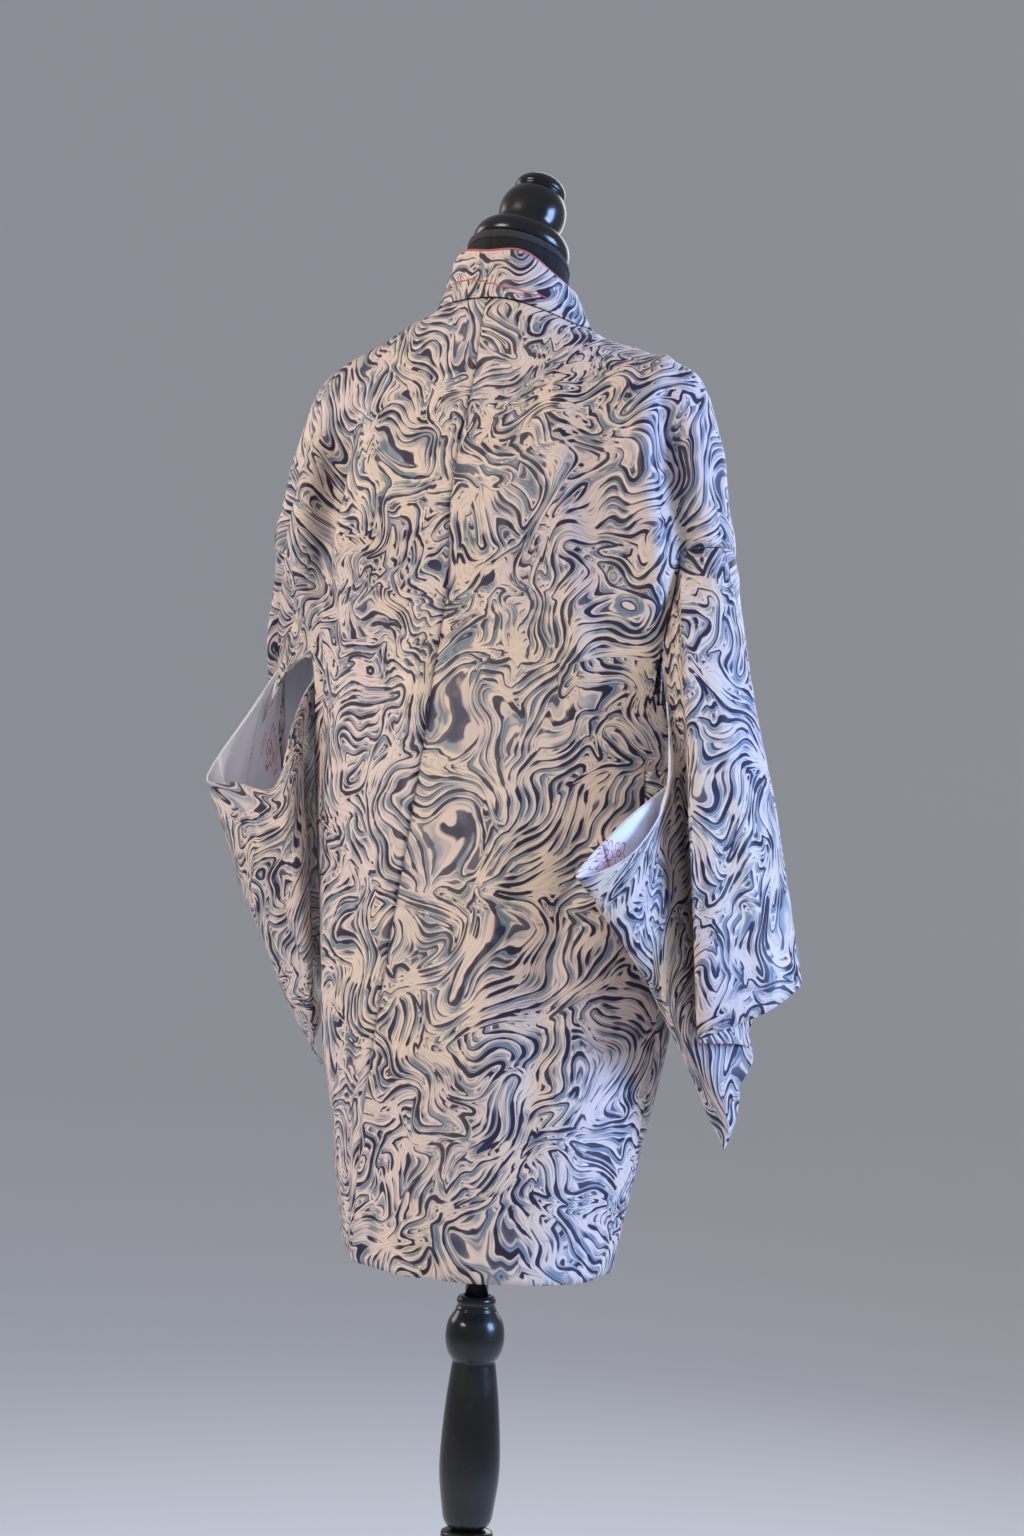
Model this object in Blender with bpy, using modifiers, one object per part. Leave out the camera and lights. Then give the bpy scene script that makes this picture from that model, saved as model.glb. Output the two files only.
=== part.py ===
"""Haori jacket worn on a limbless dress form with a turned stand.

Run with: blender --background --python part.py

Metres, +Z up. The garment's front faces -Y, its back +Y and the wearer's left +X.
All tables are in millimetres in the garment's own frame, whose vertical axis is the
stand's pole with the floor at zero. PLACE moves that axis so that the whole object's
box stands centred on the origin.

The body is a stack of rings about the pole, from the neck seam to the hem. Each ring is
an ellipse-like loop with its own reach to the back, to each side and to the front, and
SWELLS pushes lobes, hollows, ridges and valleys into it. An angle on a ring runs from 0 at
the centre back through 90 at the side to 180 at the centre front. Every cloth panel is a
stretch of that surface, or of a sleeve strung between ribs, thickened by a Solidify modifier.
"""

import math
from collections import namedtuple

import bmesh
import bpy

MM = 0.001
COLLECTION = "haori_on_dress_form"
PLACE = (13.0, 17.9, 0.0)

# Cloth
CLOTH = 2.0
COLLAR_CLOTH = 4.0
SEAM_GAP = 0.6
CENTRE_GAP = 0.3
HEM_GAP = 0.5
SIDES = {"right": -1.0, "left": 1.0}

# One row for each ring of the body. The z values are the ring's height at the centre back,
# at the right and left sides and at the centre front.
Ring = namedtuple("Ring", "name z_back z_right z_left z_front right left back front")
RINGS = (
    Ring("neck", 1399, 1378, 1393, 1352, 66, 74, 45, 56),
    Ring("neck_base", 1372, 1367, 1386, 1320, 92, 102, 52, 76),
    Ring("shoulder", 1338, 1354, 1368, 1284, 128, 142, 57, 90),
    Ring("tip", 1305, 1336, 1343, 1245, 171, 190, 66, 98),
    Ring("drop", 1268, 1289, 1290, 1212, 190, 216, 77, 104),
    Ring("armhole_top", 1218, 1236, 1240, 1178, 199, 227, 84, 108),
    Ring("armhole", 1172, 1200, 1200, 1140, 206, 234, 81, 112),
    Ring("armhole_end", 1112, 1115, 1112, 1112, 205, 190, 91, 120),
    Ring("gusset_top", 1022, 1022, 1022, 1022, 196, 172, 106, 130),
    Ring("waist", 922, 922, 922, 922, 200, 160, 123, 140),
    Ring("hip", 822, 822, 822, 822, 212, 150, 139, 150),
    Ring("skirt", 724, 724, 724, 724, 212, 140, 155, 160),
    Ring("hem", 633, 633, 633, 633, 212, 134, 172, 170),
)
ARMHOLE_ROW = 6
ARMHOLE_END_ROW = 7
GUSSET_ROW = 8
HEM_ROW = 12

# Where the panels end on each ring, as angles: the back panel's side, the front panel's
# side and the front edge. Above the armhole the sides are only lines of the mesh.
Cut = namedtuple("Cut", "name right_back right_front right_edge left_back left_front left_edge")
CUTS = (
    Cut("neck", 56, 118, 132, 56, 118, 132),
    Cut("neck_base", 57, 117, 140, 57, 117, 140),
    Cut("shoulder", 58, 116, 146, 58, 116, 146),
    Cut("tip", 60, 115, 150, 60, 115, 150),
    Cut("drop", 62, 114, 152, 61, 114, 152),
    Cut("armhole_top", 64, 114, 153, 62, 114, 153),
    Cut("armhole", 66, 114, 154, 64, 114, 154),
    Cut("armhole_end", 61, 119, 155, 58, 119, 155),
    Cut("gusset_top", 62, 118, 156, 62, 118, 156),
    Cut("waist", 67, 116, 158, 72, 122, 158),
    Cut("hip", 72, 115, 160, 84, 126, 160),
    Cut("skirt", 71, 114, 162, 96, 132, 162),
    Cut("hem", 69, 113, 164, 106, 138, 164),
)

# Where the hem passes, from the centre back to the front edge: outward and back. Below the
# side opening the rings turn step by step into this line, the front sooner than the back.
HemSpot = namedtuple("HemSpot", "angle out back")
RIGHT_HEM = (
    HemSpot(0, 0, 172), HemSpot(19, 70, 195), HemSpot(38, 138, 179), HemSpot(55, 177, 130),
    HemSpot(69, 167, 61), HemSpot(91, 129, 5), HemSpot(113, 92, -50), HemSpot(130, 53, -108),
    HemSpot(147, 14, -168), HemSpot(164, -30, -228),
)
LEFT_HEM = (
    HemSpot(0, 0, 172), HemSpot(20, 40, 128), HemSpot(40, 78, 82), HemSpot(62, 104, 41),
    HemSpot(84, 131, 0), HemSpot(106, 164, -62), HemSpot(122, 180, -112),
    HemSpot(138, 187, -165), HemSpot(151, 178, -228), HemSpot(164, 130, -272),
)
SPREAD_START = 1060.0

# Folds of the body. A push is in millimetres, outward when positive. It grows from nothing
# at the top height to its full size at the full height, and fades away at the low height.
# Its middle moves evenly from the top angle to the low angle, and it ends at its reach, in
# degrees, on either side.
Swell = namedtuple("Swell", "name side top_angle low_angle reach top full low push")
SWELLS = (
    Swell("armhole_ridge", "right", 53, 60, 9, 1348, 1275, 1040, 9),
    Swell("armhole_valley", "right", 64, 68, 10, 1338, 1260, 1070, -13),
    Swell("armhole_bulge", "right", 80, 82, 10, 1325, 1240, 1130, 5),
    Swell("armhole_valley", "left", 37, 41, 8, 1335, 1250, 1050, -16),
    Swell("pillar", "left", 46, 50, 9, 1335, 1250, 1050, 9),
    Swell("outer_valley", "left", 58, 60, 9, 1320, 1220, 1090, -12),
)

# The ribs of a sleeve, in order round it from the top fold down the back layer to the bottom
# seam, and back up the front layer. A root with one number lies on the armhole seam, at that
# angle of the body. The others give x outward, y back and height.
Rib = namedtuple("Rib", "name root middle cuff")
RIGHT_RIBS = (
    Rib("top_fold", (90,), (252, 2, 1034), (292, 0, 865)),
    Rib("upper_back", (76,), (256, 40, 1015), (288, 48, 843)),
    Rib("ridge", (66,), (236, 84, 985), (254, 84, 821)),
    Rib("valley", (61,), (228, 38, 955), (262, 18, 812)),
    Rib("back_opening", (206, 62, 1022), (225, 97, 902), (250, 30, 768)),
    Rib("back_low", (221, 133, 964), (220, 100, 873), (241, 14, 748)),
    Rib("bottom_seam", (198, 178, 943), (214, 94, 857), (231, 3, 731)),
    Rib("front_low", (203, 126, 983), (204, 66, 866), (228, -18, 752)),
    Rib("front_opening", (197, 38, 1022), (205, 14, 900), (212, -48, 775)),
    Rib("front_upper", (208, -12, 1070), (212, -34, 962), (200, -76, 805)),
    Rib("front_end", (119,), (212, -62, 1000), (214, -70, 838)),
    Rib("upper_front", (103,), (226, -34, 1028), (252, -36, 862)),
)
LEFT_RIBS = (
    Rib("top_fold", (90,), (250, -70, 1035), (240, -118, 868)),
    Rib("upper_back", (78,), (264, -38, 1034), (260, -106, 862)),
    Rib("ridge", (64,), (258, -34, 1050), (268, -96, 872)),
    Rib("valley", (58,), (247, -18, 1086), (266, -84, 892)),
    Rib("back_opening", (224, 0, 1110), (262, 2, 955), (256, -74, 808)),
    Rib("back_low", (240, 28, 1064), (252, 12, 925), (232, -60, 776)),
    Rib("bottom_seam", (254, 68, 1004), (220, 36, 880), (200, -38, 757)),
    Rib("front_low", (202, 92, 1000), (172, 78, 890), (182, -8, 768)),
    Rib("front_opening", (155, 98, 999), (128, 98, 905), (160, 28, 782)),
    Rib("front_upper", (158, 72, 1058), (127, 84, 925), (158, 24, 790)),
    Rib("front_side", (166, 28, 1094), (156, 64, 950), (170, 4, 806)),
    Rib("front_end", (119,), (186, 36, 985), (188, -22, 825)),
    Rib("upper_front", (103,), (214, -50, 1030), (208, -78, 850)),
)

# The collar, from the centre back round the neck ring, then down the front edge. The rise is
# the slope of the band's width from level.
NECK_BANDS = 5
Band = namedtuple("Band", "ring angle width rise")
COLLAR = (
    Band(0, 0, 41, 84),
    Band(0, 30, 40, 81),
    Band(0, 60, 37, 72),
    Band(0, 90, 34, 65),
    Band(0, 112, 34, 63),
    Band(0, 132, 36, 66),
    Band(1, 140, 46, 20),
    Band(2.5, 148, 54, 3),
    Band(4.5, 153, 60, -3),
    Band(6, 154, 61, -2),
    Band(7, 155, 62, -1),
    Band(9, 158, 62, 0),
    Band(12, 164, 62, 0),
)
COLLAR_WAVE = 2.5

# The form's rings, from the flat underside to the top of the neck. Its shoulders carry the
# cloth. The bend is how sharply a ring's height changes towards the back and the front, and
# is 1 where the ring is a leaning flat circle. The shift moves a ring to the wearer's left.
Form = namedtuple("Form", "name z_back z_side z_front side back front bend shift")
FORM = (
    Form("underside", 800, 800, 800, 100, 70, 74, 2, 0),
    Form("hip", 812, 812, 812, 112, 78, 84, 2, 0),
    Form("seat", 860, 860, 860, 118, 80, 88, 2, 0),
    Form("waist", 960, 960, 960, 106, 60, 78, 2, 0),
    Form("ribs", 1080, 1080, 1075, 132, 70, 92, 2, 0),
    Form("chest", 1180, 1185, 1160, 150, 70, 98, 2, 0),
    Form("arm", 1236, 1262, 1210, 162, 68, 92, 2, 0),
    Form("edge", 1272, 1305, 1240, 164, 66, 86, 2, 0),
    Form("tip", 1300, 1326, 1262, 154, 59, 80, 2, 0),
    Form("shoulder", 1331, 1347, 1290, 122, 51.5, 72, 2, 0),
    Form("neck_base", 1364, 1359, 1322, 86, 46, 62, 2, 0),
    Form("neck_root", 1384, 1376, 1352, 56, 41.2, 50, 2, 0),
    Form("neck_foot", 1406, 1400, 1382, 46, 38.8, 45, 1.7, 1),
    Form("neck", 1430, 1419, 1404, 43.5, 38.4, 42, 1.1, 2),
    Form("neck_top", 1456.6, 1440.1, 1419.8, 42.5, 35.4, 43.5, 1, 3),
)

# Turned pieces, as (radius, height) from each piece's own foot.
NECK_LEAN = 25.0
FINIAL_FOOT = (3, -2.0, 1440.1)
FINIAL_PROFILE = (
    (0, 0), (36, 0), (39.5, 2), (40.7, 6), (40.5, 10), (39, 14.5), (36.5, 17.5), (32, 20),
    (27.5, 22), (25.5, 25), (25.8, 29), (27.3, 35), (28, 41.5), (27.3, 48), (25, 54),
    (21.8, 58.6), (20.1, 60), (20.1, 61.2), (21.6, 63), (21.3, 66.8), (18.4, 71.2),
    (12, 75), (4, 77.1), (0, 77.4),
)
POLE_RADIUS = 9.5
POLE_FOOT = 575.0
POLE_TOP = 799.7
POST_PROFILE = (
    (0, 396), (19, 396), (22.5, 420), (25, 440), (24.8, 462), (22, 500), (18.5, 528),
    (17.5, 534), (20, 536.5), (23.5, 544), (24.6, 555), (23, 566), (18.5, 573),
    (16.8, 575.5), (16.8, 577), (15, 579.5), (16.2, 582), (16, 585), (14, 587.5),
    (10.6, 587.5), (10.6, 574.7), (0, 574.7),
)
BASE_PROFILE = (
    (0, 150), (9, 150), (14, 155), (17, 165), (17, 172), (30, 178), (33, 186), (33, 262),
    (30, 270), (22, 275), (20, 280), (25, 284), (25.5, 290), (20, 296), (17, 312),
    (18, 340), (22, 366), (20, 376), (17, 380), (20.5, 384), (22, 390), (20.5, 395.7),
    (0, 395.7),
)
LEG_COUNT = 3
LEG_TURN = 90.0
LEG_ROUTE = (
    (35.0, 236, 15), (70, 240, 15), (120, 210, 14), (170, 130, 12.5), (205, 60, 11),
    (236, 18.7, 10.5),
)
FOOT_RADIUS = 17.0
FOOT_HEIGHT = 12.0

# Finish: colour, metallic value and roughness
SILK = ((0.80, 0.72, 0.68), 0.0, 0.55)
LINING = ((0.86, 0.80, 0.84), 0.0, 0.5)
BLACK_FABRIC = ((0.012, 0.012, 0.013), 0.0, 0.85)
BLACK_LACQUER = ((0.014, 0.013, 0.013), 0.0, 0.32)


def clear_scene():
    """Remove everything the file opened with."""
    for obj in list(bpy.data.objects):
        bpy.data.objects.remove(obj, do_unlink=True)


def new_material(name, finish):
    """A Principled material from (colour, metallic, roughness)."""
    colour, metallic, roughness = finish
    material = bpy.data.materials.new(name)
    material.use_nodes = True
    shader = material.node_tree.nodes["Principled BSDF"]
    shader.inputs["Base Color"].default_value = (*colour, 1.0)
    shader.inputs["Metallic"].default_value = metallic
    shader.inputs["Roughness"].default_value = roughness
    material.diffuse_color = (*colour, 1.0)
    return material


def curve_through(values, place, closed=False):
    """The value at a fractional index of a smooth curve through evenly spaced values."""
    count = len(values)
    if closed:
        start = int(math.floor(place))
        picks = [values[(start + step) % count] for step in (-1, 0, 1, 2)]
    else:
        start = min(max(int(math.floor(place)), 0), count - 2)
        picks = [values[min(max(start + step, 0), count - 1)] for step in (-1, 0, 1, 2)]
    part = place - start
    before, first, second, after = picks
    rise_first = (second - before) / 2
    rise_second = (after - first) / 2
    drop = first - second
    return (
        first
        + part * rise_first
        - part**2 * (3 * drop + 2 * rise_first + rise_second)
        + part**3 * (2 * drop + rise_first + rise_second)
    )


def column(table, name, place):
    """One named column of a table at a fractional row."""
    return curve_through([getattr(row, name) for row in table], place)


def smooth_step(value):
    """0 below 0, 1 above 1 and smooth between."""
    value = min(max(value, 0.0), 1.0)
    return value * value * (3 - 2 * value)


def swell_push(side, angle, height):
    """How far the folds and lobes move a point of the body outward."""
    total = 0.0
    for swell in SWELLS:
        if swell.side != side or height > swell.top:
            continue
        down = min((swell.top - height) / (swell.top - swell.low), 1.0)
        middle = swell.top_angle + down * (swell.low_angle - swell.top_angle)
        away = abs(angle - middle) / swell.reach
        if away >= 1:
            continue
        grown = smooth_step((swell.top - height) / (swell.top - swell.full))
        grown *= smooth_step((height - swell.low) / (swell.full - swell.low))
        total += swell.push * grown * math.cos(math.pi / 2 * away) ** 2
    return total


def hem_point(side, angle):
    """Where this angle's line meets the hem, outward and back."""
    spots = RIGHT_HEM if side == "right" else LEFT_HEM
    index = max(step for step, spot in enumerate(spots[:-1]) if step == 0 or spot.angle <= angle)
    share = (angle - spots[index].angle) / (spots[index + 1].angle - spots[index].angle)
    out = curve_through([spot.out for spot in spots], index + share)
    back = curve_through([spot.back for spot in spots], index + share)
    return out, back


def body_point(side, angle, place):
    """A point of the cloth's middle surface, in millimetres.

    side is right or left, angle runs from the centre back to the centre front, and place is
    a fractional row of RINGS.
    """
    turn = math.radians(angle)
    width = column(RINGS, side, place)
    z_side = column(RINGS, "z_" + side, place)
    if angle < 90:
        depth = column(RINGS, "back", place)
        z_end = column(RINGS, "z_back", place)
    else:
        depth = column(RINGS, "front", place)
        z_end = column(RINGS, "z_front", place)
    height = z_side + (z_end - z_side) * math.cos(turn) ** 2
    normal_x = math.sin(turn) / width
    normal_y = math.cos(turn) / depth
    length = math.hypot(normal_x, normal_y)
    push = swell_push(side, angle, height) / length
    x = width * math.sin(turn) + push * normal_x
    y = depth * math.cos(turn) + push * normal_y
    down = max(SPREAD_START - height, 0.0) / (SPREAD_START - RINGS[HEM_ROW].z_back)
    spread = down ** (2.0 - smooth_step((angle - 70) / 40))
    hem_x, hem_y = hem_point(side, angle)
    return (SIDES[side] * (x + (hem_x - x) * spread), y + (hem_y - y) * spread, height)


def new_object(name, mesh, material):
    """An object of this mesh in the model's collection, in its place."""
    obj = bpy.data.objects.new(name, mesh)
    bpy.data.collections[COLLECTION].objects.link(obj)
    obj.location = [value * MM for value in PLACE]
    obj.data.materials.append(material)
    return obj


def new_sheet(name, points, faces, thickness, material):
    """A cloth piece: a sheet of quads in millimetres, thickened to both sides.

    Each quad is split the same way, so that sheets laid on each other stay parallel.
    """
    shell = bmesh.new()
    corners = [shell.verts.new([value * MM for value in point]) for point in points]
    for first, second, third, fourth in faces:
        shell.faces.new((corners[first], corners[second], corners[third]))
        shell.faces.new((corners[first], corners[third], corners[fourth]))
    loose = [corner for corner in shell.verts if not corner.link_faces]
    bmesh.ops.delete(shell, geom=loose, context="VERTS")
    bmesh.ops.recalc_face_normals(shell, faces=shell.faces)
    mesh = bpy.data.meshes.new(name)
    shell.to_mesh(mesh)
    shell.free()
    mesh.shade_smooth()
    obj = new_object(name, mesh, material)
    wall = obj.modifiers.new("cloth thickness", "SOLIDIFY")
    wall.thickness = thickness * MM
    wall.offset = 0.0
    wall.use_even_offset = False
    return obj


def grid_faces(rows, columns, keep=None):
    """The quads of a grid whose points are listed row by row."""
    faces = []
    for row in range(rows - 1):
        for col in range(columns - 1):
            if keep is None or keep(row, col):
                first = row * columns + col
                faces.append((first, first + 1, first + columns + 1, first + columns))
    return faces


BACK_COLUMNS = 13
ARM_COLUMNS = 4
FRONT_COLUMNS = 7
ROWS_EACH = 2


def panel_angles(side, place):
    """The angles of one body panel's mesh lines, from the centre back to the front edge."""
    back = column(CUTS, side + "_back", place)
    front = column(CUTS, side + "_front", place)
    edge = column(CUTS, side + "_edge", place)
    half_gap = CENTRE_GAP + HEM_GAP * place / HEM_ROW
    seam = math.degrees(half_gap / column(RINGS, side, place))
    angles = []
    for index in range(BACK_COLUMNS):
        share = 1 - (1 - index / BACK_COLUMNS) ** 1.2
        angles.append(seam + (back - seam) * share)
    for index in range(ARM_COLUMNS):
        angles.append(back + (90 - back) * index / ARM_COLUMNS)
    for index in range(ARM_COLUMNS):
        angles.append(90 + (front - 90) * index / ARM_COLUMNS)
    for index in range(FRONT_COLUMNS + 1):
        angles.append(front + (edge - front) * index / FRONT_COLUMNS)
    return angles


def make_body(side, material):
    """One half of the body: back and front in one piece over the shoulder."""
    rows = HEM_ROW * ROWS_EACH + 1
    points = []
    for row in range(rows):
        place = row / ROWS_EACH
        points.extend(body_point(side, angle, place) for angle in panel_angles(side, place))
    columns = len(points) // rows
    armhole_row = ARMHOLE_ROW * ROWS_EACH

    def keep(row, col):
        in_armhole = BACK_COLUMNS <= col < BACK_COLUMNS + 2 * ARM_COLUMNS
        return row < armhole_row or not in_armhole

    faces = grid_faces(rows, columns, keep)
    return new_sheet("body_" + side, points, faces, CLOTH, material)


GUSSET_COLUMNS = 4


def make_gusset(side, material):
    """The strip between back and front below the side opening."""
    rows = (HEM_ROW - GUSSET_ROW) * ROWS_EACH + 1
    points = []
    for row in range(rows):
        place = GUSSET_ROW + row / ROWS_EACH
        gap = math.degrees(SEAM_GAP / column(RINGS, side, place))
        back = column(CUTS, side + "_back", place) + gap
        front = column(CUTS, side + "_front", place) - gap
        for col in range(GUSSET_COLUMNS + 1):
            angle = back + (front - back) * col / GUSSET_COLUMNS
            points.append(body_point(side, angle, place))
    faces = grid_faces(rows, GUSSET_COLUMNS + 1)
    return new_sheet("gusset_" + side, points, faces, CLOTH, material)


SIDE_GAP = 0.8


def mixed(first, second, share):
    """The point this share of the way from first to second."""
    return tuple(a + (b - a) * share for a, b in zip(first, second))


def moved_towards(point, target, distance):
    """The point moved this distance towards the target."""
    return mixed(point, target, distance / math.dist(point, target))


def rib_point(side, ribs, name, place):
    """A point of the smooth closed loop through the ribs' middles or cuffs."""
    picked = [getattr(rib, name) for rib in ribs]
    x, y, z = (curve_through([point[axis] for point in picked], place, True) for axis in range(3))
    return (SIDES[side] * x, y, z)


def seam_point(side, angle):
    """A point of the armhole seam: level below the arm, then down the panel's side."""
    name = side + ("_back" if angle < 90 else "_front")
    corner = getattr(CUTS[ARMHOLE_ROW], name)
    end = getattr(CUTS[ARMHOLE_END_ROW], name)
    share = (angle - corner) / (end - corner)
    if share <= 0:
        return body_point(side, angle, ARMHOLE_ROW)
    ring = ARMHOLE_ROW + (ARMHOLE_END_ROW - ARMHOLE_ROW) * share
    outward = SIDE_GAP if angle < 90 else -SIDE_GAP
    return body_point(side, column(CUTS, name, ring) + outward, ring)


def root_point(side, ribs, place):
    """A point of the sleeve's upper edge: the armhole seam, then the free opening."""
    count = len(ribs)
    start = int(math.floor(place)) % count
    part = place - math.floor(place)
    first = ribs[start].root
    second = ribs[(start + 1) % count].root
    if len(first) == 1 and len(second) == 1:
        return seam_point(side, first[0] + (second[0] - first[0]) * part)
    spots = []
    for rib in ribs:
        if len(rib.root) == 1:
            spot = seam_point(side, rib.root[0])
            spots.append((SIDES[side] * spot[0], spot[1], spot[2]))
        else:
            spots.append(rib.root)
    x, y, z = (curve_through([spot[axis] for spot in spots], place, True) for axis in range(3))
    return (SIDES[side] * x, y, z)


ROOT_GAP = {"right": 3.1, "left": 1.6}


def sleeve_point(side, ribs, place, along):
    """A point of the sleeve: place runs round the ribs, along from the root to the cuff."""
    middle = rib_point(side, ribs, "middle", place)
    cuff = rib_point(side, ribs, "cuff", place)
    root = moved_towards(root_point(side, ribs, place), middle, ROOT_GAP[side])
    near = 2 * (along - 0.5) * (along - 1)
    centre = 4 * along * (1 - along)
    far = 2 * along * (along - 0.5)
    return tuple(near * a + centre * b + far * c for a, b, c in zip(root, middle, cuff))


STEPS_EACH = 3
SLEEVE_ROWS = 9


def sleeve_grid(side, ribs):
    """A sleeve's points row by row from the root, and the quads between them."""
    around = len(ribs) * STEPS_EACH
    points = []
    for row in range(SLEEVE_ROWS + 1):
        for step in range(around):
            points.append(sleeve_point(side, ribs, step / STEPS_EACH, row / SLEEVE_ROWS))
    faces = []
    for row in range(SLEEVE_ROWS):
        for step in range(around):
            first = row * around + step
            second = row * around + (step + 1) % around
            faces.append((first, second, second + around, first + around))
    return points, faces


def make_sleeve(side, ribs, material):
    """One sleeve: a flat tube hanging from the armhole, open at the body side and the cuff."""
    points, faces = sleeve_grid(side, ribs)
    return new_sheet("sleeve_" + side, points, faces, CLOTH, material)


LINING_CLOTH = 1.0
LINING_SPACE = 2.0
LINING_ROWS = 5
LINING_STEPS = {"right": (20, 28), "left": (14, 17)}


def point_normals(points, faces):
    """The normal of a sheet of quads at each of its points."""
    shell = bmesh.new()
    corners = [shell.verts.new(point) for point in points]
    for first, second, third, fourth in faces:
        shell.faces.new((corners[first], corners[second], corners[third]))
        shell.faces.new((corners[first], corners[third], corners[fourth]))
    shell.normal_update()
    normals = [tuple(corner.normal) for corner in corners]
    shell.free()
    return normals


def make_lining(side, ribs, material):
    """The lining that shows in the sleeve's opening: the front layer's points, moved in."""
    around = len(ribs) * STEPS_EACH
    sleeve, quads = sleeve_grid(side, ribs)
    normals = point_normals(sleeve, quads)
    inward = SIDES[side] * LINING_SPACE
    first, last = LINING_STEPS[side]
    points = []
    for row in range(LINING_ROWS + 1):
        for step in range(first, last + 1):
            index = row * around + step
            points.append(tuple(a + inward * n for a, n in zip(sleeve[index], normals[index])))
    faces = grid_faces(LINING_ROWS + 1, last - first + 1)
    return new_sheet("sleeve_lining_" + side, points, faces, LINING_CLOTH, material)


COLLAR_STEPS = 3
COLLAR_COLUMNS = 4
COLLAR_GAP = 2.4


def collar_line(side, place):
    """The collar's edge points across its width at a fractional row of COLLAR."""
    ring = max(column(COLLAR, "ring", place), 0.0)
    angle = column(COLLAR, "angle", place)
    if place > NECK_BANDS:
        angle = column(CUTS, side + "_edge", ring)
    width = column(COLLAR, "width", place)
    rise = math.radians(column(COLLAR, "rise", place))
    foot = body_point(side, angle, ring)
    turn = math.radians(angle)
    inward = (-SIDES[side] * math.sin(turn), -math.cos(turn))
    level = min(max((6.0 - place) / 1.5, 0.0), 1.0)
    inward = (
        inward[0] * level + -SIDES[side] * (1 - level),
        inward[1] * level + -0.25 * (1 - level),
    )
    size = math.hypot(*inward)
    direction = (
        inward[0] / size * math.cos(rise),
        inward[1] / size * math.cos(rise),
        math.sin(rise),
    )
    wave = COLLAR_WAVE * math.cos(math.radians(6 * angle)) * max(0.0, 1 - place / 3)
    points = []
    for col in range(COLLAR_COLUMNS + 1):
        share = col / COLLAR_COLUMNS
        reach = COLLAR_GAP + (width - wave * share - COLLAR_GAP) * share
        points.append(tuple(a + reach * d for a, d in zip(foot, direction)))
    return points


def make_collar(material):
    """The long folded band round the neck and down both front edges."""
    last = len(COLLAR) - 1
    count = last * COLLAR_STEPS
    points = []
    for step in range(count, 0, -1):
        points.extend(collar_line("right", step / COLLAR_STEPS))
    for step in range(count + 1):
        points.extend(collar_line("left", step / COLLAR_STEPS))
    faces = grid_faces(2 * count + 1, COLLAR_COLUMNS + 1)
    return new_sheet("collar", points, faces, COLLAR_CLOTH, material)


FORM_AROUND = 32
FORM_STEPS = 2


def form_point(angle, place):
    """A point of the dress form's surface, its angle running all the way round."""
    turn = math.radians(angle)
    side = column(FORM, "side", place)
    depth = column(FORM, "back" if math.cos(turn) > 0 else "front", place)
    z_side = column(FORM, "z_side", place)
    z_end = column(FORM, "z_back" if math.cos(turn) > 0 else "z_front", place)
    height = z_side + (z_end - z_side) * abs(math.cos(turn)) ** column(FORM, "bend", place)
    shift = column(FORM, "shift", place)
    return (shift + side * math.sin(turn), depth * math.cos(turn), height)


def make_form(material):
    """The padded torso with its neck, a closed loft through the form's rings."""
    rings = (len(FORM) - 1) * FORM_STEPS + 1
    shell = bmesh.new()
    loops = []
    for row in range(rings):
        loop = []
        for step in range(FORM_AROUND):
            point = form_point(360 * step / FORM_AROUND, row / FORM_STEPS)
            loop.append(shell.verts.new([value * MM for value in point]))
        loops.append(loop)
    for lower, upper in zip(loops, loops[1:]):
        for step in range(FORM_AROUND):
            after = (step + 1) % FORM_AROUND
            shell.faces.new((lower[step], lower[after], upper[after], upper[step]))
    shell.faces.new(loops[0])
    shell.faces.new(loops[-1])
    bmesh.ops.recalc_face_normals(shell, faces=shell.faces)
    mesh = bpy.data.meshes.new("form_torso")
    shell.to_mesh(mesh)
    shell.free()
    return new_object("form_torso", mesh, material)


def make_turned(name, profile, material, steps=20):
    """A turned piece: a profile screwed round its own vertical axis."""
    outline = bmesh.new()
    corners = [outline.verts.new((radius * MM, 0, height * MM)) for radius, height in profile]
    for lower, upper in zip(corners, corners[1:]):
        outline.edges.new((lower, upper))
    mesh = bpy.data.meshes.new(name)
    outline.to_mesh(mesh)
    outline.free()
    obj = new_object(name, mesh, material)
    screw = obj.modifiers.new("turning", "SCREW")
    screw.steps = steps
    screw.render_steps = steps
    screw.use_merge_vertices = True
    screw.merge_threshold = 0.0001
    screw.use_normal_calculate = True
    return obj


def make_cylinder(name, radius, bottom, top, place, material, sides=20):
    """An upright cylinder between two heights."""
    solid = bmesh.new()
    bmesh.ops.create_cone(
        solid,
        cap_ends=True,
        segments=sides,
        radius1=radius * MM,
        radius2=radius * MM,
        depth=(top - bottom) * MM,
    )
    mesh = bpy.data.meshes.new(name)
    solid.to_mesh(mesh)
    solid.free()
    obj = new_object(name, mesh, material)
    middle = (bottom + top) / 2
    for axis, value in enumerate((place[0], place[1], middle)):
        obj.location[axis] += value * MM
    return obj


def make_leg(index, material):
    """A curved leg from the base's column out to its foot."""
    turn = LEG_TURN + 360 * index / LEG_COUNT
    curve = bpy.data.curves.new(f"leg_{index + 1}", "CURVE")
    curve.dimensions = "3D"
    curve.bevel_depth = MM
    curve.bevel_resolution = 2
    curve.resolution_u = 4
    curve.use_fill_caps = True
    line = curve.splines.new("BEZIER")
    line.bezier_points.add(len(LEG_ROUTE) - 1)
    for point, (out, height, radius) in zip(line.bezier_points, LEG_ROUTE):
        point.co = (out * MM, 0, height * MM)
        point.radius = radius
        point.handle_left_type = "AUTO"
        point.handle_right_type = "AUTO"
    obj = new_object(f"leg_{index + 1}", curve, material)
    obj.rotation_euler[2] = math.radians(turn)
    return obj


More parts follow.
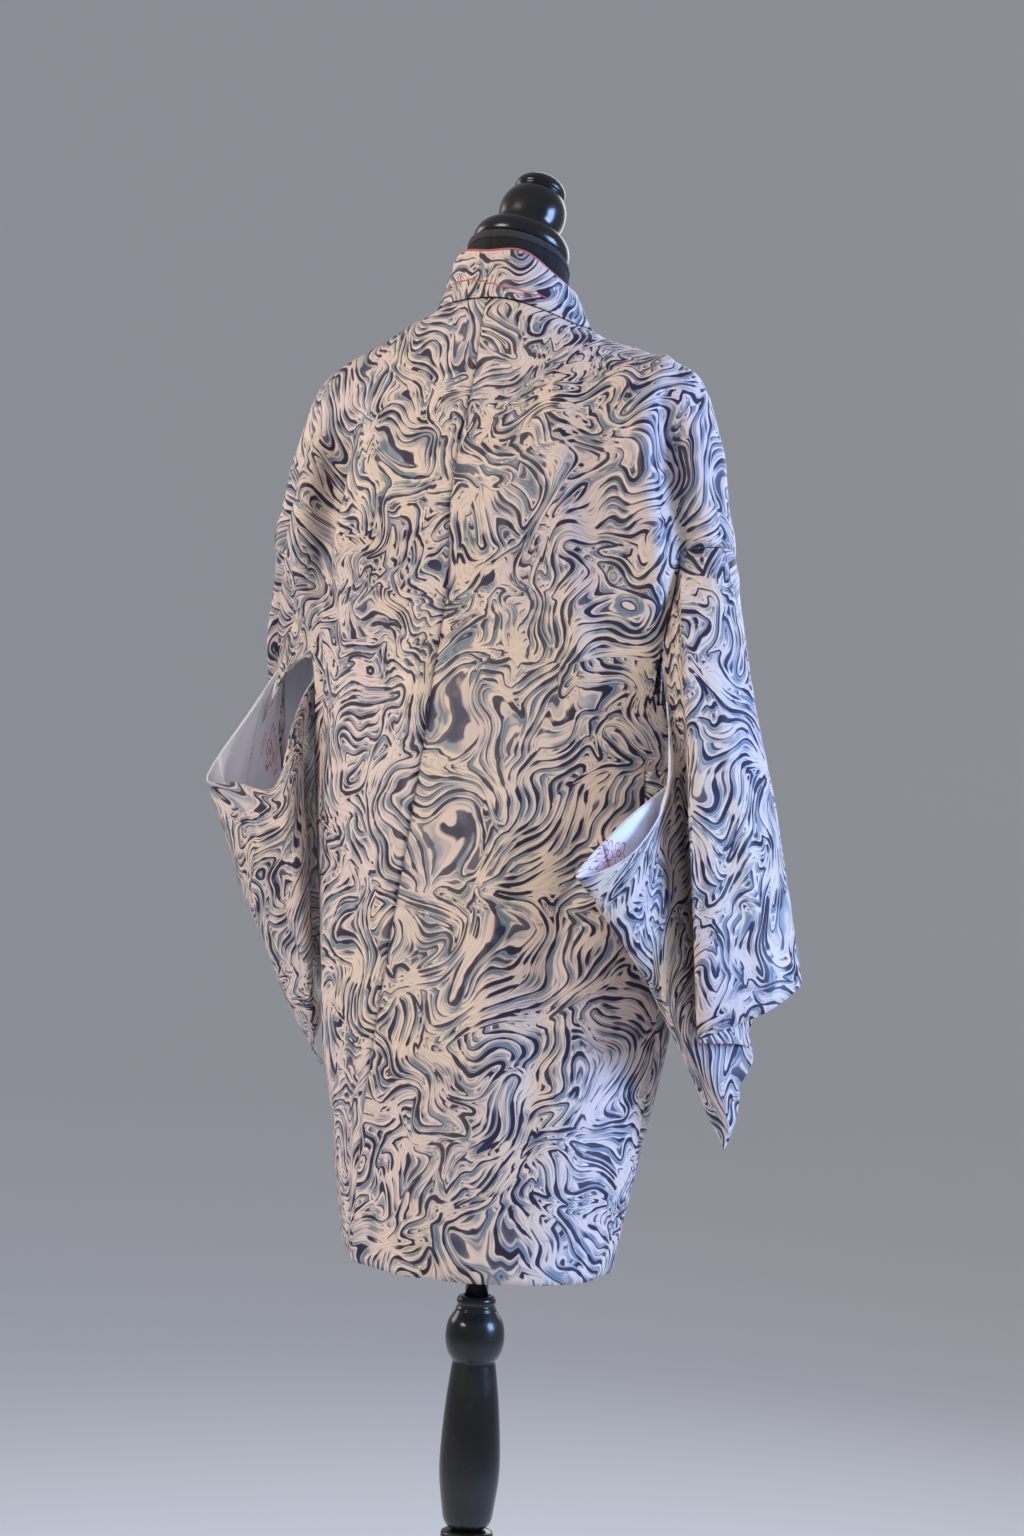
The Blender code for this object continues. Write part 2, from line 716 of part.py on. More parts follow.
def make_stand(material):
    """The pole, its turned post and base column, three legs and their feet."""
    make_cylinder("pole", POLE_RADIUS, POLE_FOOT, POLE_TOP, (0, 0), material)
    make_turned("post", POST_PROFILE, material)
    make_turned("base_column", BASE_PROFILE, material)
    for index in range(LEG_COUNT):
        make_leg(index, material)
        turn = math.radians(LEG_TURN + 360 * index / LEG_COUNT)
        reach = LEG_ROUTE[-1][0]
        place = (reach * math.cos(turn), reach * math.sin(turn))
        make_cylinder(f"foot_{index + 1}", FOOT_RADIUS, 0, FOOT_HEIGHT, place, material)


def make_finial(material):
    """The turned cap on the neck, leaning forward with it."""
    obj = make_turned("finial", FINIAL_PROFILE, material, 24)
    for axis, value in enumerate(FINIAL_FOOT):
        obj.location[axis] += value * MM
    obj.rotation_euler[0] = math.radians(NECK_LEAN)


def main():
    """Build the whole object."""
    clear_scene()
    bpy.context.scene.collection.children.link(bpy.data.collections.new(COLLECTION))
    silk = new_material("silk", SILK)
    lining = new_material("lining", LINING)
    fabric = new_material("black_fabric", BLACK_FABRIC)
    lacquer = new_material("black_lacquer", BLACK_LACQUER)
    for side, ribs in (("right", RIGHT_RIBS), ("left", LEFT_RIBS)):
        make_body(side, silk)
        make_gusset(side, silk)
        make_sleeve(side, ribs, silk)
        make_lining(side, ribs, lining)
    make_collar(silk)
    make_form(fabric)
    make_finial(lacquer)
    make_stand(lacquer)


if __name__ == "__main__":
    main()
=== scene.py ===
"""The looks of a silk haori worn on a black dress form with a turned stand.

Metres, +Z up. The garment's front faces -Y, its back +Y and the wearer's left +X. The
tables are in millimetres in the garment's own frame, whose vertical axis is the stand's
pole with the floor at zero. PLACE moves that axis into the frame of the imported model.

Each cloth piece is a thin sheet over the solid that stands for it in the frame. It carries
the coordinates of its own flat cut, so that the marbled ink lies on the cloth as it was
dyed and breaks at every seam.
"""

import logging
import math
from dataclasses import dataclass, field
from enum import Enum
from typing import Callable, Sequence

import bpy
import numpy as np
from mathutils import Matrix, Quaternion, Vector, noise


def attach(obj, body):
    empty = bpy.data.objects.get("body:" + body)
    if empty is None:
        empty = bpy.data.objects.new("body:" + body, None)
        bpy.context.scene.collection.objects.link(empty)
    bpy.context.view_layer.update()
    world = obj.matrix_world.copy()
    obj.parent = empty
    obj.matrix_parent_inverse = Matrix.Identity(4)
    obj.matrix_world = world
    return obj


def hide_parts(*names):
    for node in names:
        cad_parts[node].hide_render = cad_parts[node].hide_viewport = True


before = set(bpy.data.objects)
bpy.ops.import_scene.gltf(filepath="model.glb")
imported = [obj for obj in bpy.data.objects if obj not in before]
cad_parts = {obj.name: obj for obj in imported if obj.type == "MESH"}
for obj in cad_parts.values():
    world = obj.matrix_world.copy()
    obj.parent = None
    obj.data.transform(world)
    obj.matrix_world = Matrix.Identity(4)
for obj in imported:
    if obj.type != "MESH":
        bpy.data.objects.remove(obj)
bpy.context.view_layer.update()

LOG = logging.getLogger("haori")
MM = 0.001
BODY = "root"
PLACE = (13.0, 17.9, 0.0)

Spot = tuple[float, float, float]
Pair = tuple[float, float]
Colour = tuple[float, float, float, float]
Piece = bpy.types.Object
Material = bpy.types.Material
Node = bpy.types.Node
Socket = bpy.types.NodeSocket


class Side(Enum):
    """The wearer's side that a piece belongs to."""

    RIGHT = "right"
    LEFT = "left"

    @property
    def sign(self) -> float:
        """The direction of this side along X."""
        return -1.0 if self is Side.RIGHT else 1.0


class Hold(Enum):
    """How a sheet of cloth is held up."""

    DRAPED = "draped"
    HUNG = "hung"


@dataclass(frozen=True)
class Ring:
    """One ring of the body: its heights and its reach to each side."""

    name: str
    z_back: float
    z_right: float
    z_left: float
    z_front: float
    right: float
    left: float
    back: float
    front: float


@dataclass(frozen=True)
class Cut:
    """The angles on one ring where the body's panels end."""

    name: str
    right_back: float
    right_front: float
    right_edge: float
    left_back: float
    left_front: float
    left_edge: float


@dataclass(frozen=True)
class HemSpot:
    """Where one angle's line meets the hem."""

    angle: float
    out: float
    back: float


@dataclass(frozen=True)
class Swell:
    """A fold of the body: its path, its reach in degrees and its push in millimetres."""

    name: str
    side: str
    top_angle: float
    low_angle: float
    reach: float
    top: float
    full: float
    low: float
    push: float


@dataclass(frozen=True)
class Rib:
    """One line of a sleeve, from the armhole through the middle to the cuff."""

    name: str
    root: tuple[float, ...]
    middle: Spot
    cuff: Spot


@dataclass(frozen=True)
class Band:
    """The collar at one place of the edge: its width and the slope of that width."""

    ring: float
    angle: float
    width: float
    rise: float


@dataclass(frozen=True)
class FormRing:
    """One ring of the dress form."""

    name: str
    z_back: float
    z_side: float
    z_front: float
    side: float
    back: float
    front: float
    bend: float
    shift: float


# One row for each ring of the body, from the neck seam to the hem.
RINGS = (
    Ring("neck", 1399, 1378, 1393, 1352, 66, 74, 45, 56),
    Ring("neck_base", 1372, 1367, 1386, 1320, 92, 102, 52, 76),
    Ring("shoulder", 1338, 1354, 1368, 1284, 128, 142, 57, 90),
    Ring("tip", 1305, 1336, 1343, 1245, 171, 190, 66, 98),
    Ring("drop", 1268, 1289, 1290, 1212, 190, 216, 77, 104),
    Ring("armhole_top", 1218, 1236, 1240, 1178, 199, 227, 84, 108),
    Ring("armhole", 1172, 1200, 1200, 1140, 206, 234, 81, 112),
    Ring("armhole_end", 1112, 1115, 1112, 1112, 205, 190, 91, 120),
    Ring("gusset_top", 1022, 1022, 1022, 1022, 196, 172, 106, 130),
    Ring("waist", 922, 922, 922, 922, 200, 160, 123, 140),
    Ring("hip", 822, 822, 822, 822, 212, 150, 139, 150),
    Ring("skirt", 724, 724, 724, 724, 212, 140, 155, 160),
    Ring("hem", 633, 633, 633, 633, 212, 134, 172, 170),
)
ARMHOLE_ROW = 6
ARMHOLE_END_ROW = 7
GUSSET_ROW = 8
HEM_ROW = 12

# Where the panels end on each ring, as angles: the back panel's side, the front panel's
# side and the front edge. Above the armhole the sides are only lines of the mesh.
CUTS = (
    Cut("neck", 56, 118, 132, 56, 118, 132),
    Cut("neck_base", 57, 117, 140, 57, 117, 140),
    Cut("shoulder", 58, 116, 146, 58, 116, 146),
    Cut("tip", 60, 115, 150, 60, 115, 150),
    Cut("drop", 62, 114, 152, 61, 114, 152),
    Cut("armhole_top", 64, 114, 153, 62, 114, 153),
    Cut("armhole", 66, 114, 154, 64, 114, 154),
    Cut("armhole_end", 61, 119, 155, 58, 119, 155),
    Cut("gusset_top", 62, 118, 156, 62, 118, 156),
    Cut("waist", 67, 116, 158, 72, 122, 158),
    Cut("hip", 72, 115, 160, 84, 126, 160),
    Cut("skirt", 71, 114, 162, 96, 132, 162),
    Cut("hem", 69, 113, 164, 106, 138, 164),
)

# Where the hem passes, from the centre back to the front edge: outward and back. Below the
# side opening the rings turn step by step into this line, the front sooner than the back.
RIGHT_HEM = (
    HemSpot(0, 0, 172), HemSpot(19, 70, 195), HemSpot(38, 138, 179), HemSpot(55, 177, 130),
    HemSpot(69, 167, 61), HemSpot(91, 129, 5), HemSpot(113, 92, -50), HemSpot(130, 53, -108),
    HemSpot(147, 14, -168), HemSpot(164, -30, -228),
)
LEFT_HEM = (
    HemSpot(0, 0, 172), HemSpot(20, 40, 128), HemSpot(40, 78, 82), HemSpot(62, 104, 41),
    HemSpot(84, 131, 0), HemSpot(106, 164, -62), HemSpot(122, 180, -112),
    HemSpot(138, 187, -165), HemSpot(151, 178, -228), HemSpot(164, 130, -272),
)

# Folds of the body. A push is in millimetres, outward when positive. It grows from nothing
# at the top height to its full size at the full height, and fades away at the low height.
# Its middle moves evenly from the top angle to the low angle, and it ends at its reach, in
# degrees, on either side.
SWELLS = (
    Swell("armhole_ridge", "right", 53, 60, 9, 1348, 1275, 1040, 9),
    Swell("armhole_valley", "right", 64, 68, 10, 1338, 1260, 1070, -13),
    Swell("armhole_bulge", "right", 80, 82, 10, 1325, 1240, 1130, 5),
    Swell("armhole_valley", "left", 37, 41, 8, 1335, 1250, 1050, -16),
    Swell("pillar", "left", 46, 50, 9, 1335, 1250, 1050, 9),
    Swell("outer_valley", "left", 58, 60, 9, 1320, 1220, 1090, -12),
)

# The ribs of a sleeve, in order round it from the top fold down the back layer to the bottom
# seam, and back up the front layer. A root with one number lies on the armhole seam, at that
# angle of the body. The others give x outward, y back and height.
RIGHT_RIBS = (
    Rib("top_fold", (90,), (252, 2, 1034), (292, 0, 865)),
    Rib("upper_back", (76,), (256, 40, 1015), (288, 48, 843)),
    Rib("ridge", (66,), (236, 84, 985), (254, 84, 821)),
    Rib("valley", (61,), (228, 38, 955), (262, 18, 812)),
    Rib("back_opening", (206, 62, 1022), (225, 97, 902), (250, 30, 768)),
    Rib("back_low", (221, 133, 964), (220, 100, 873), (241, 14, 748)),
    Rib("bottom_seam", (198, 178, 943), (214, 94, 857), (231, 3, 731)),
    Rib("front_low", (203, 126, 983), (204, 66, 866), (228, -18, 752)),
    Rib("front_opening", (197, 38, 1022), (205, 14, 900), (212, -48, 775)),
    Rib("front_upper", (208, -12, 1070), (212, -34, 962), (200, -76, 805)),
    Rib("front_end", (119,), (212, -62, 1000), (214, -70, 838)),
    Rib("upper_front", (103,), (226, -34, 1028), (252, -36, 862)),
)
LEFT_RIBS = (
    Rib("top_fold", (90,), (250, -70, 1035), (240, -118, 868)),
    Rib("upper_back", (78,), (264, -38, 1034), (260, -106, 862)),
    Rib("ridge", (64,), (258, -34, 1050), (268, -96, 872)),
    Rib("valley", (58,), (247, -18, 1086), (266, -84, 892)),
    Rib("back_opening", (224, 0, 1110), (262, 2, 955), (256, -74, 808)),
    Rib("back_low", (240, 28, 1064), (252, 12, 925), (232, -60, 776)),
    Rib("bottom_seam", (254, 68, 1004), (220, 36, 880), (200, -38, 757)),
    Rib("front_low", (202, 92, 1000), (172, 78, 890), (182, -8, 768)),
    Rib("front_opening", (155, 98, 999), (128, 98, 905), (160, 28, 782)),
    Rib("front_upper", (158, 72, 1058), (127, 84, 925), (158, 24, 790)),
    Rib("front_side", (166, 28, 1094), (156, 64, 950), (170, 4, 806)),
    Rib("front_end", (119,), (186, 36, 985), (188, -22, 825)),
    Rib("upper_front", (103,), (214, -50, 1030), (208, -78, 850)),
)

# Where each piece was cut from the dyed bolt, in metres.
BOLT_PLACES = {
    "body_right": (0.10, 0.05), "body_left": (2.37, 1.31),
    "gusset_right": (1.45, 2.2), "gusset_left": (3.1, 0.6),
    "sleeve_right": (0.7, 3.3), "sleeve_left": (4.2, 2.4),
    "collar": (5.3, 0.4),
}

# The collar, from the centre back round the neck ring, then down the front edge. The rise is
# the slope of the band's width from level, in degrees. The first rows follow the neck ring.
NECK_BANDS = 5
COLLAR = (
    Band(0, 0, 41, 84),
    Band(0, 30, 40, 81),
    Band(0, 60, 37, 72),
    Band(0, 90, 34, 65),
    Band(0, 112, 34, 63),
    Band(0, 132, 36, 66),
    Band(1, 140, 46, 20),
    Band(2.5, 148, 54, 3),
    Band(4.5, 153, 60, -3),
    Band(6, 154, 61, -2),
    Band(7, 155, 62, -1),
    Band(9, 158, 62, 0),
    Band(12, 164, 62, 0),
)

# The form's rings, from the flat underside to the top of the neck. Its shoulders carry the
# cloth. The bend is how sharply a ring's height changes towards the back and the front, and
# is 1 where the ring is a leaning flat circle. The shift moves a ring to the wearer's left.
FORM = (
    FormRing("underside", 800, 800, 800, 100, 70, 74, 2, 0),
    FormRing("hip", 812, 812, 812, 112, 78, 84, 2, 0),
    FormRing("seat", 860, 860, 860, 118, 80, 88, 2, 0),
    FormRing("waist", 960, 960, 960, 106, 60, 78, 2, 0),
    FormRing("ribs", 1080, 1080, 1075, 132, 70, 92, 2, 0),
    FormRing("chest", 1180, 1185, 1160, 150, 70, 98, 2, 0),
    FormRing("arm", 1236, 1262, 1210, 162, 68, 92, 2, 0),
    FormRing("edge", 1272, 1305, 1240, 164, 66, 86, 2, 0),
    FormRing("tip", 1300, 1326, 1262, 154, 59, 80, 2, 0),
    FormRing("shoulder", 1331, 1347, 1290, 122, 51.5, 72, 2, 0),
    FormRing("neck_base", 1364, 1359, 1322, 86, 46, 62, 2, 0),
    FormRing("neck_root", 1384, 1376, 1352, 56, 41.2, 50, 2, 0),
    FormRing("neck_foot", 1406, 1400, 1382, 46, 38.8, 45, 1.7, 1),
    FormRing("neck", 1430, 1419, 1404, 43.5, 38.4, 42, 1.1, 2),
    FormRing("neck_top", 1456.6, 1440.1, 1419.8, 42.5, 35.4, 43.5, 1, 3),
)

# The turned cap, as (radius, height) from its own foot.
FINIAL_PROFILE = (
    (0, 0), (36, 0), (39.5, 2), (40.7, 6), (40.5, 10), (39, 14.5), (36.5, 17.5), (32, 20),
    (27.5, 22), (25.5, 25), (25.8, 29), (27.3, 35), (28, 41.5), (27.3, 48), (25, 54),
    (21.8, 58.6), (20.1, 60), (20.1, 61.2), (21.6, 63), (21.3, 66.8), (18.4, 71.2),
    (12, 75), (4, 77.1), (0, 77.4),
)
# The turned post and the base column under it, as (radius, height) from the floor.
POST_PROFILE = (
    (0, 396), (19, 396), (22.5, 420), (25, 440), (24.8, 462), (22, 500), (18.5, 528),
    (17.5, 534), (20, 536.5), (23.5, 544), (24.6, 555), (23, 566), (18.5, 573),
    (16.8, 575.5), (16.8, 577), (15, 579.5), (16.2, 582), (16, 585), (14, 587.5),
    (10.6, 587.5), (10.6, 574.7), (0, 574.7),
)
BASE_PROFILE = (
    (0, 150), (9, 150), (14, 155), (17, 165), (17, 172), (30, 178), (33, 186), (33, 262),
    (30, 270), (22, 275), (20, 280), (25, 284), (25.5, 290), (20, 296), (17, 312),
    (18, 340), (22, 366), (20, 376), (17, 380), (20.5, 384), (22, 390), (20.5, 395.7),
    (0, 395.7),
)
# A leg from the base column to its foot, as (outward, height, radius).
LEG_ROUTE = (
    (35.0, 236, 15), (70, 240, 15), (120, 210, 14), (170, 130, 12.5), (205, 60, 11),
    (236, 18.7, 10.5),
)

# How far each row of a flat cut is drawn level, from 0 to 1.
LEVEL_SHARE = 0.65
# The smallest length that is divided by.
TINY = 1e-9
# What turns the range of a noise into about 1 either way.
NOISE_GAIN = 2.0
# How far from each corner a turned profile is cut, as a share of its sides.
CORNER_CUT = 0.25
# A turned profile is on its axis below this radius, in millimetres.
AXIS_RADIUS = 0.01
# The plain value of a place, and the middle value of a noise's colour.
ORIGIN = (0.0, 0.0, 0.0)
MIDDLE = (0.5, 0.5, 0.5)

# What moved the ink on the water: the smooth drifts, by size and reach in millimetres, and the
# whirls, by size in millimetres, largest angle in radians and the shift of their centres.
INK_DRIFTS = ((44.0, 34.0), (90.0, 120.0))
INK_WHIRLS = ((62.0, 2.9, 3.7), (105.0, 3.6, 8.1), (180.0, 2.4, 5.3))


def curve_through(values: Sequence[float], place: float, closed: bool = False) -> float:
    """Read a smooth curve through evenly spaced values.

    Args:
        values: The values that the curve passes through.
        place: A fractional index.
        closed: Whether the last value is followed by the first.

    Returns:
        The value of the curve at that place.
    """
    count = len(values)
    if closed:
        start = int(math.floor(place))
        before, first, second, after = (
            values[(start + step) % count] for step in (-1, 0, 1, 2)
        )
    else:
        start = min(max(int(math.floor(place)), 0), count - 2)
        before, first, second, after = (
            values[min(max(start + step, 0), count - 1)] for step in (-1, 0, 1, 2)
        )
    part = place - start
    rise_first = (second - before) / 2
    rise_second = (after - first) / 2
    drop = first - second
    return (
        first
        + part * rise_first
        - part**2 * (3 * drop + 2 * rise_first + rise_second)
        + part**3 * (2 * drop + rise_first + rise_second)
    )


def smooth_step(value: float) -> float:
    """Return 0 below 0, 1 above 1 and a smooth rise between."""
    value = min(max(value, 0.0), 1.0)
    return value * value * (3 - 2 * value)


class Table:
    """A short table of rows that is read as one smooth curve for each of its columns."""

    def __init__(self, rows: Sequence[object]) -> None:
        """Keep every numeric column of the rows."""
        names = [name for name, value in vars(rows[0]).items() if not isinstance(value, str)]
        self.columns = {name: [getattr(row, name) for row in rows] for name in names}

    def at(self, name: str, place: float) -> float:
        """Return one column at a fractional row."""
        return curve_through(self.columns[name], place)


@dataclass
class Garment:
    """The surface that the body's panels are cut from."""

    rings: Table = field(default_factory=lambda: Table(RINGS))
    cuts: Table = field(default_factory=lambda: Table(CUTS))
    swells: tuple[Swell, ...] = SWELLS
    spread_start: float = 1060.0
    spread_front: float = 70.0
    spread_turn: float = 40.0

    def push(self, side: Side, angle: float, height: float) -> float:
        """Find how far the folds move a point of the body.

        Args:
            side: The half of the body.
            angle: Degrees from the centre back.
            height: The point's height.

        Returns:
            The push outward in millimetres.
        """
        total = 0.0
        for swell in self.swells:
            if swell.side != side.value or height > swell.top:
                continue
            down = min((swell.top - height) / (swell.top - swell.low), 1.0)
            middle = swell.top_angle + down * (swell.low_angle - swell.top_angle)
            away = abs(angle - middle) / swell.reach
            if away >= 1:
                continue
            grown = smooth_step((swell.top - height) / (swell.top - swell.full))
            grown *= smooth_step((height - swell.low) / (swell.full - swell.low))
            total += swell.push * grown * math.cos(math.pi / 2 * away) ** 2
        return total

    def hem(self, side: Side, angle: float) -> Pair:
        """Find where one angle's line meets the hem.

        Args:
            side: The half of the body.
            angle: Degrees from the centre back.

        Returns:
            The place outward and back, in millimetres.
        """
        spots = RIGHT_HEM if side is Side.RIGHT else LEFT_HEM
        index = max(i for i, spot in enumerate(spots[:-1]) if not i or spot.angle <= angle)
        share = (angle - spots[index].angle) / (spots[index + 1].angle - spots[index].angle)
        out = curve_through([spot.out for spot in spots], index + share)
        back = curve_through([spot.back for spot in spots], index + share)
        return out, back

    def point(self, side: Side, angle: float, place: float) -> Spot:
        """Find a point of the cloth's middle surface.

        Args:
            side: The half of the body.
            angle: Degrees from the centre back to the centre front.
            place: A fractional row of RINGS.

        Returns:
            The point in the garment's frame, in millimetres.
        """
        turn = math.radians(angle)
        end = "back" if angle < 90 else "front"
        width = self.rings.at(side.value, place)
        depth = self.rings.at(end, place)
        z_side = self.rings.at("z_" + side.value, place)
        z_end = self.rings.at("z_" + end, place)
        height = z_side + (z_end - z_side) * math.cos(turn) ** 2
        normal_x = math.sin(turn) / width
        normal_y = math.cos(turn) / depth
        push = self.push(side, angle, height) / math.hypot(normal_x, normal_y)
        x = width * math.sin(turn) + push * normal_x
        y = depth * math.cos(turn) + push * normal_y
        hem_height = RINGS[HEM_ROW].z_back
        down = max(self.spread_start - height, 0.0) / (self.spread_start - hem_height)
        spread = down ** (2.0 - smooth_step((angle - self.spread_front) / self.spread_turn))
        hem_x, hem_y = self.hem(side, angle)
        return (side.sign * (x + (hem_x - x) * spread), y + (hem_y - y) * spread, height)

    def cut(self, side: Side, name: str, place: float) -> float:
        """Return the angle of one of the panel's ends on this ring."""
        return self.cuts.at(f"{side.value}_{name}", place)

    def seam_point(self, side: Side, angle: float, gap: float) -> Spot:
        """Find a point of the armhole seam: level below the arm, then down the panel's side.

        Args:
            side: The half of the body.
            angle: Degrees from the centre back.
            gap: How far the lower stretch keeps from the panel's side, in degrees.

        Returns:
            The point in millimetres.
        """
        name = "back" if angle < 90 else "front"
        corner = getattr(CUTS[ARMHOLE_ROW], f"{side.value}_{name}")
        end = getattr(CUTS[ARMHOLE_END_ROW], f"{side.value}_{name}")
        share = (angle - corner) / (end - corner)
        if share <= 0:
            return self.point(side, angle, ARMHOLE_ROW)
        ring = ARMHOLE_ROW + (ARMHOLE_END_ROW - ARMHOLE_ROW) * share
        outward = gap if angle < 90 else -gap
        return self.point(side, self.cut(side, name, ring) + outward, ring)


@dataclass
class ClothGrid:
    """A sheet laid out row by row, with the same points on the flat cloth."""

    points: np.ndarray
    closed: bool = False
    flat: np.ndarray = field(init=False)

    def __post_init__(self) -> None:
        """Lay the sheet out flat from its own lengths."""
        self.flat = self.laid_flat()

    @property
    def rows(self) -> int:
        """The number of lines down the sheet."""
        return self.points.shape[0]

    @property
    def columns(self) -> int:
        """The number of points in each line."""
        return self.points.shape[1]

    def looped(self) -> np.ndarray:
        """Return the points, with the first column again at the end of a closed sheet."""
        again = self.points[:, : int(self.closed)]
        return np.concatenate([self.points, again], axis=1)

    def laid_flat(self) -> np.ndarray:
        """Measure the cloth along and across its grid, in millimetres.

        Returns:
            For each point the length along its row and down its column.
        """
        ring = self.looped()
        across = np.linalg.norm(np.diff(ring, axis=1), axis=2)
        along = np.zeros(ring.shape[:2])
        along[:, 1:] = np.cumsum(across, axis=1)
        drops = np.linalg.norm(np.diff(ring, axis=0), axis=2)
        down = np.zeros(ring.shape[:2])
        down[1:, :] = np.cumsum(drops, axis=0)
        down = (1 - LEVEL_SHARE) * down + LEVEL_SHARE * down.mean(axis=1, keepdims=True)
        return np.stack([along, down], axis=2)

    def normals(self) -> np.ndarray:
        """Return the unit normal at every point."""
        if self.closed:
            across = np.roll(self.points, -1, axis=1) - np.roll(self.points, 1, axis=1)
        else:
            across = np.gradient(self.points, axis=1)
        down = np.gradient(self.points, axis=0)
        normal = np.cross(across, down)
        size = np.linalg.norm(normal, axis=2, keepdims=True)
        return normal / np.maximum(size, TINY)

    def outward(self, from_pole: bool = False) -> float:
        """Find which way the normals point.

        Args:
            from_pole: Whether outward is away from the pole, not from the middle of each row.

        Returns:
            1 where the normals point outward, otherwise -1.
        """
        centre = self.points.mean(axis=1, keepdims=True) * ([0, 0, 1] if from_pole else 1)
        away = self.points - centre
        return 1.0 if float((self.normals() * away).sum()) > 0 else -1.0

    def push(self, sign: float, depth: np.ndarray) -> None:
        """Move the sheet along its normals."""
        self.points = self.points + self.normals() * sign * depth[:, :, None]

    def area(self) -> float:
        """Return the sheet's area in square metres."""
        ring = self.looped()
        across = ring[:-1, 1:] - ring[:-1, :-1]
        down = ring[1:, :-1] - ring[:-1, :-1]
        return float(np.linalg.norm(np.cross(across, down), axis=2).sum()) * MM * MM

    def quads(self, keep: Callable[[int, int], bool] | None = None) -> list[tuple[int, int]]:
        """List the sheet's quads.

        Args:
            keep: Tells whether a quad belongs to the sheet, and all do without it.

        Returns:
            The row and column of each quad.
        """
        columns = self.columns if self.closed else self.columns - 1
        every = ((row, col) for row in range(self.rows - 1) for col in range(columns))
        return [(row, col) for row, col in every if keep is None or keep(row, col)]


@dataclass(frozen=True)
class Wrinkles:
    """Soft unevenness of hanging silk: long drag folds, and small crumple between them."""

    drag: float = 1.2
    drag_across: float = 46.0
    drag_down: float = 210.0
    crumple: float = 0.35
    crumple_size: float = 30.0
    bend: float = 14.0
    bend_down: float = 90.0
    bend_seed: float = 3.1
    crumple_seed: float = 9.0
    seed: float = 0.0

    def depth(self, along: float, down: float) -> float:
        """Find the push at a point of the flat cloth.

        Args:
            along: The point's place along its row, in millimetres.
            down: Its place down the cloth.

        Returns:
            The push in millimetres.
        """
        drag = noise.noise(Vector((along / self.drag_across, down / self.drag_down, self.seed)))
        waver = noise.noise(Vector((down / self.bend_down, self.seed, self.bend_seed)))
        bend = self.bend * waver
        x, y = (along + bend) / self.crumple_size, down / self.crumple_size
        small = noise.noise(Vector((x, y, self.seed + self.crumple_seed)))
        return self.drag * NOISE_GAIN * drag + self.crumple * NOISE_GAIN * small

    def apply(self, grid: ClothGrid, sign: float, held: np.ndarray) -> None:
        """Push the sheet along its normals.

        Args:
            grid: The sheet that is moved.
            sign: 1 or -1, so that a push is outward.
            held: For each point 0 where a seam holds it and 1 where it is free.
        """
        push = np.zeros(grid.points.shape[:2])
        for row in range(grid.rows):
            for col in range(grid.columns):
                along, down = grid.flat[row, col]
                push[row, col] = self.depth(float(along), float(down))
        grid.push(sign, push * held)


@dataclass(frozen=True)
class Crease:
    """A fold drawn on the flat cut, in millimetres.

    It has a path, a half width and a push outward, and fades over a share of its length.
    """

    path: tuple[Pair, ...]
    reach: float
    push: float
    fade: float = 0.22

    def depths(self, flat: np.ndarray) -> np.ndarray:
        """Return the push at each point of a flat cut.

        Args:
            flat: The points of the cut, row by row.

        Returns:
            The push in millimetres, which fades out at both ends of the path.
        """
        nearest = np.full(flat.shape[:2], np.inf)
        place = np.zeros(flat.shape[:2])
        count = len(self.path) - 1
        for index in range(count):
            first, second = (np.array(spot) for spot in self.path[index : index + 2])
            step = second - first
            share = np.clip((flat - first) @ step / (step @ step), 0, 1)
            away = np.linalg.norm(flat - first - share[..., None] * step, axis=-1)
            closer = away < nearest
            nearest = np.where(closer, away, nearest)
            place = np.where(closer, (index + share) / count, place)
        ends = np.clip(np.minimum(place, 1 - place) / self.fade, 0, 1)
        return self.push * np.exp(-((nearest / self.reach) ** 2)) * ends * ends * (3 - 2 * ends)


def fold_cloth(grid: ClothGrid, sign: float, creases: Sequence[Crease]) -> None:
    """Push a sheet along its normals by its drawn folds."""
    flat = grid.flat[:, : grid.columns]
    grid.push(sign, sum((crease.depths(flat) for crease in creases), np.zeros(flat.shape[:2])))


def held_by_edges(grid: ClothGrid, reach: float, top: bool, sides: bool) -> np.ndarray:
    """Weigh each point by its distance from the edges that hold it.

    Args:
        grid: The sheet.
        reach: The distance in millimetres over which an edge lets go.
        top: Whether the first row is held.
        sides: Whether the first and last columns are held.

    Returns:
        0 at a held edge, rising to 1 beyond the reach.
    """
    weight = np.ones((grid.rows, grid.columns))
    along = grid.flat[:, : grid.columns, 0]
    if sides:
        away = np.minimum(along, along[:, -1:] - along)
        weight *= np.clip(away / reach, 0, 1)
    if top:
        weight *= np.clip(grid.flat[:, : grid.columns, 1] / reach, 0, 1)
    return weight * weight * (3 - 2 * weight)


@dataclass
class Finishes:
    """The materials of the object, made once."""

    print_silk: Material
    lining_silk: Material
    flower_silk: Material
    red_thread: Material
    jersey: Material
    braid: Material
    lacquer: Material
    rubber: Material


def new_mesh(name: str, corners: Sequence[Spot], faces: Sequence[tuple]) -> bpy.types.Mesh:
    """Make a mesh.

    Args:
        name: The mesh's name.
        corners: Its points in metres.
        faces: The corners of each face.

    Returns:
        The new mesh.
    """
    mesh = bpy.data.meshes.new(name)
    mesh.from_pydata(corners, [], faces)
    return mesh


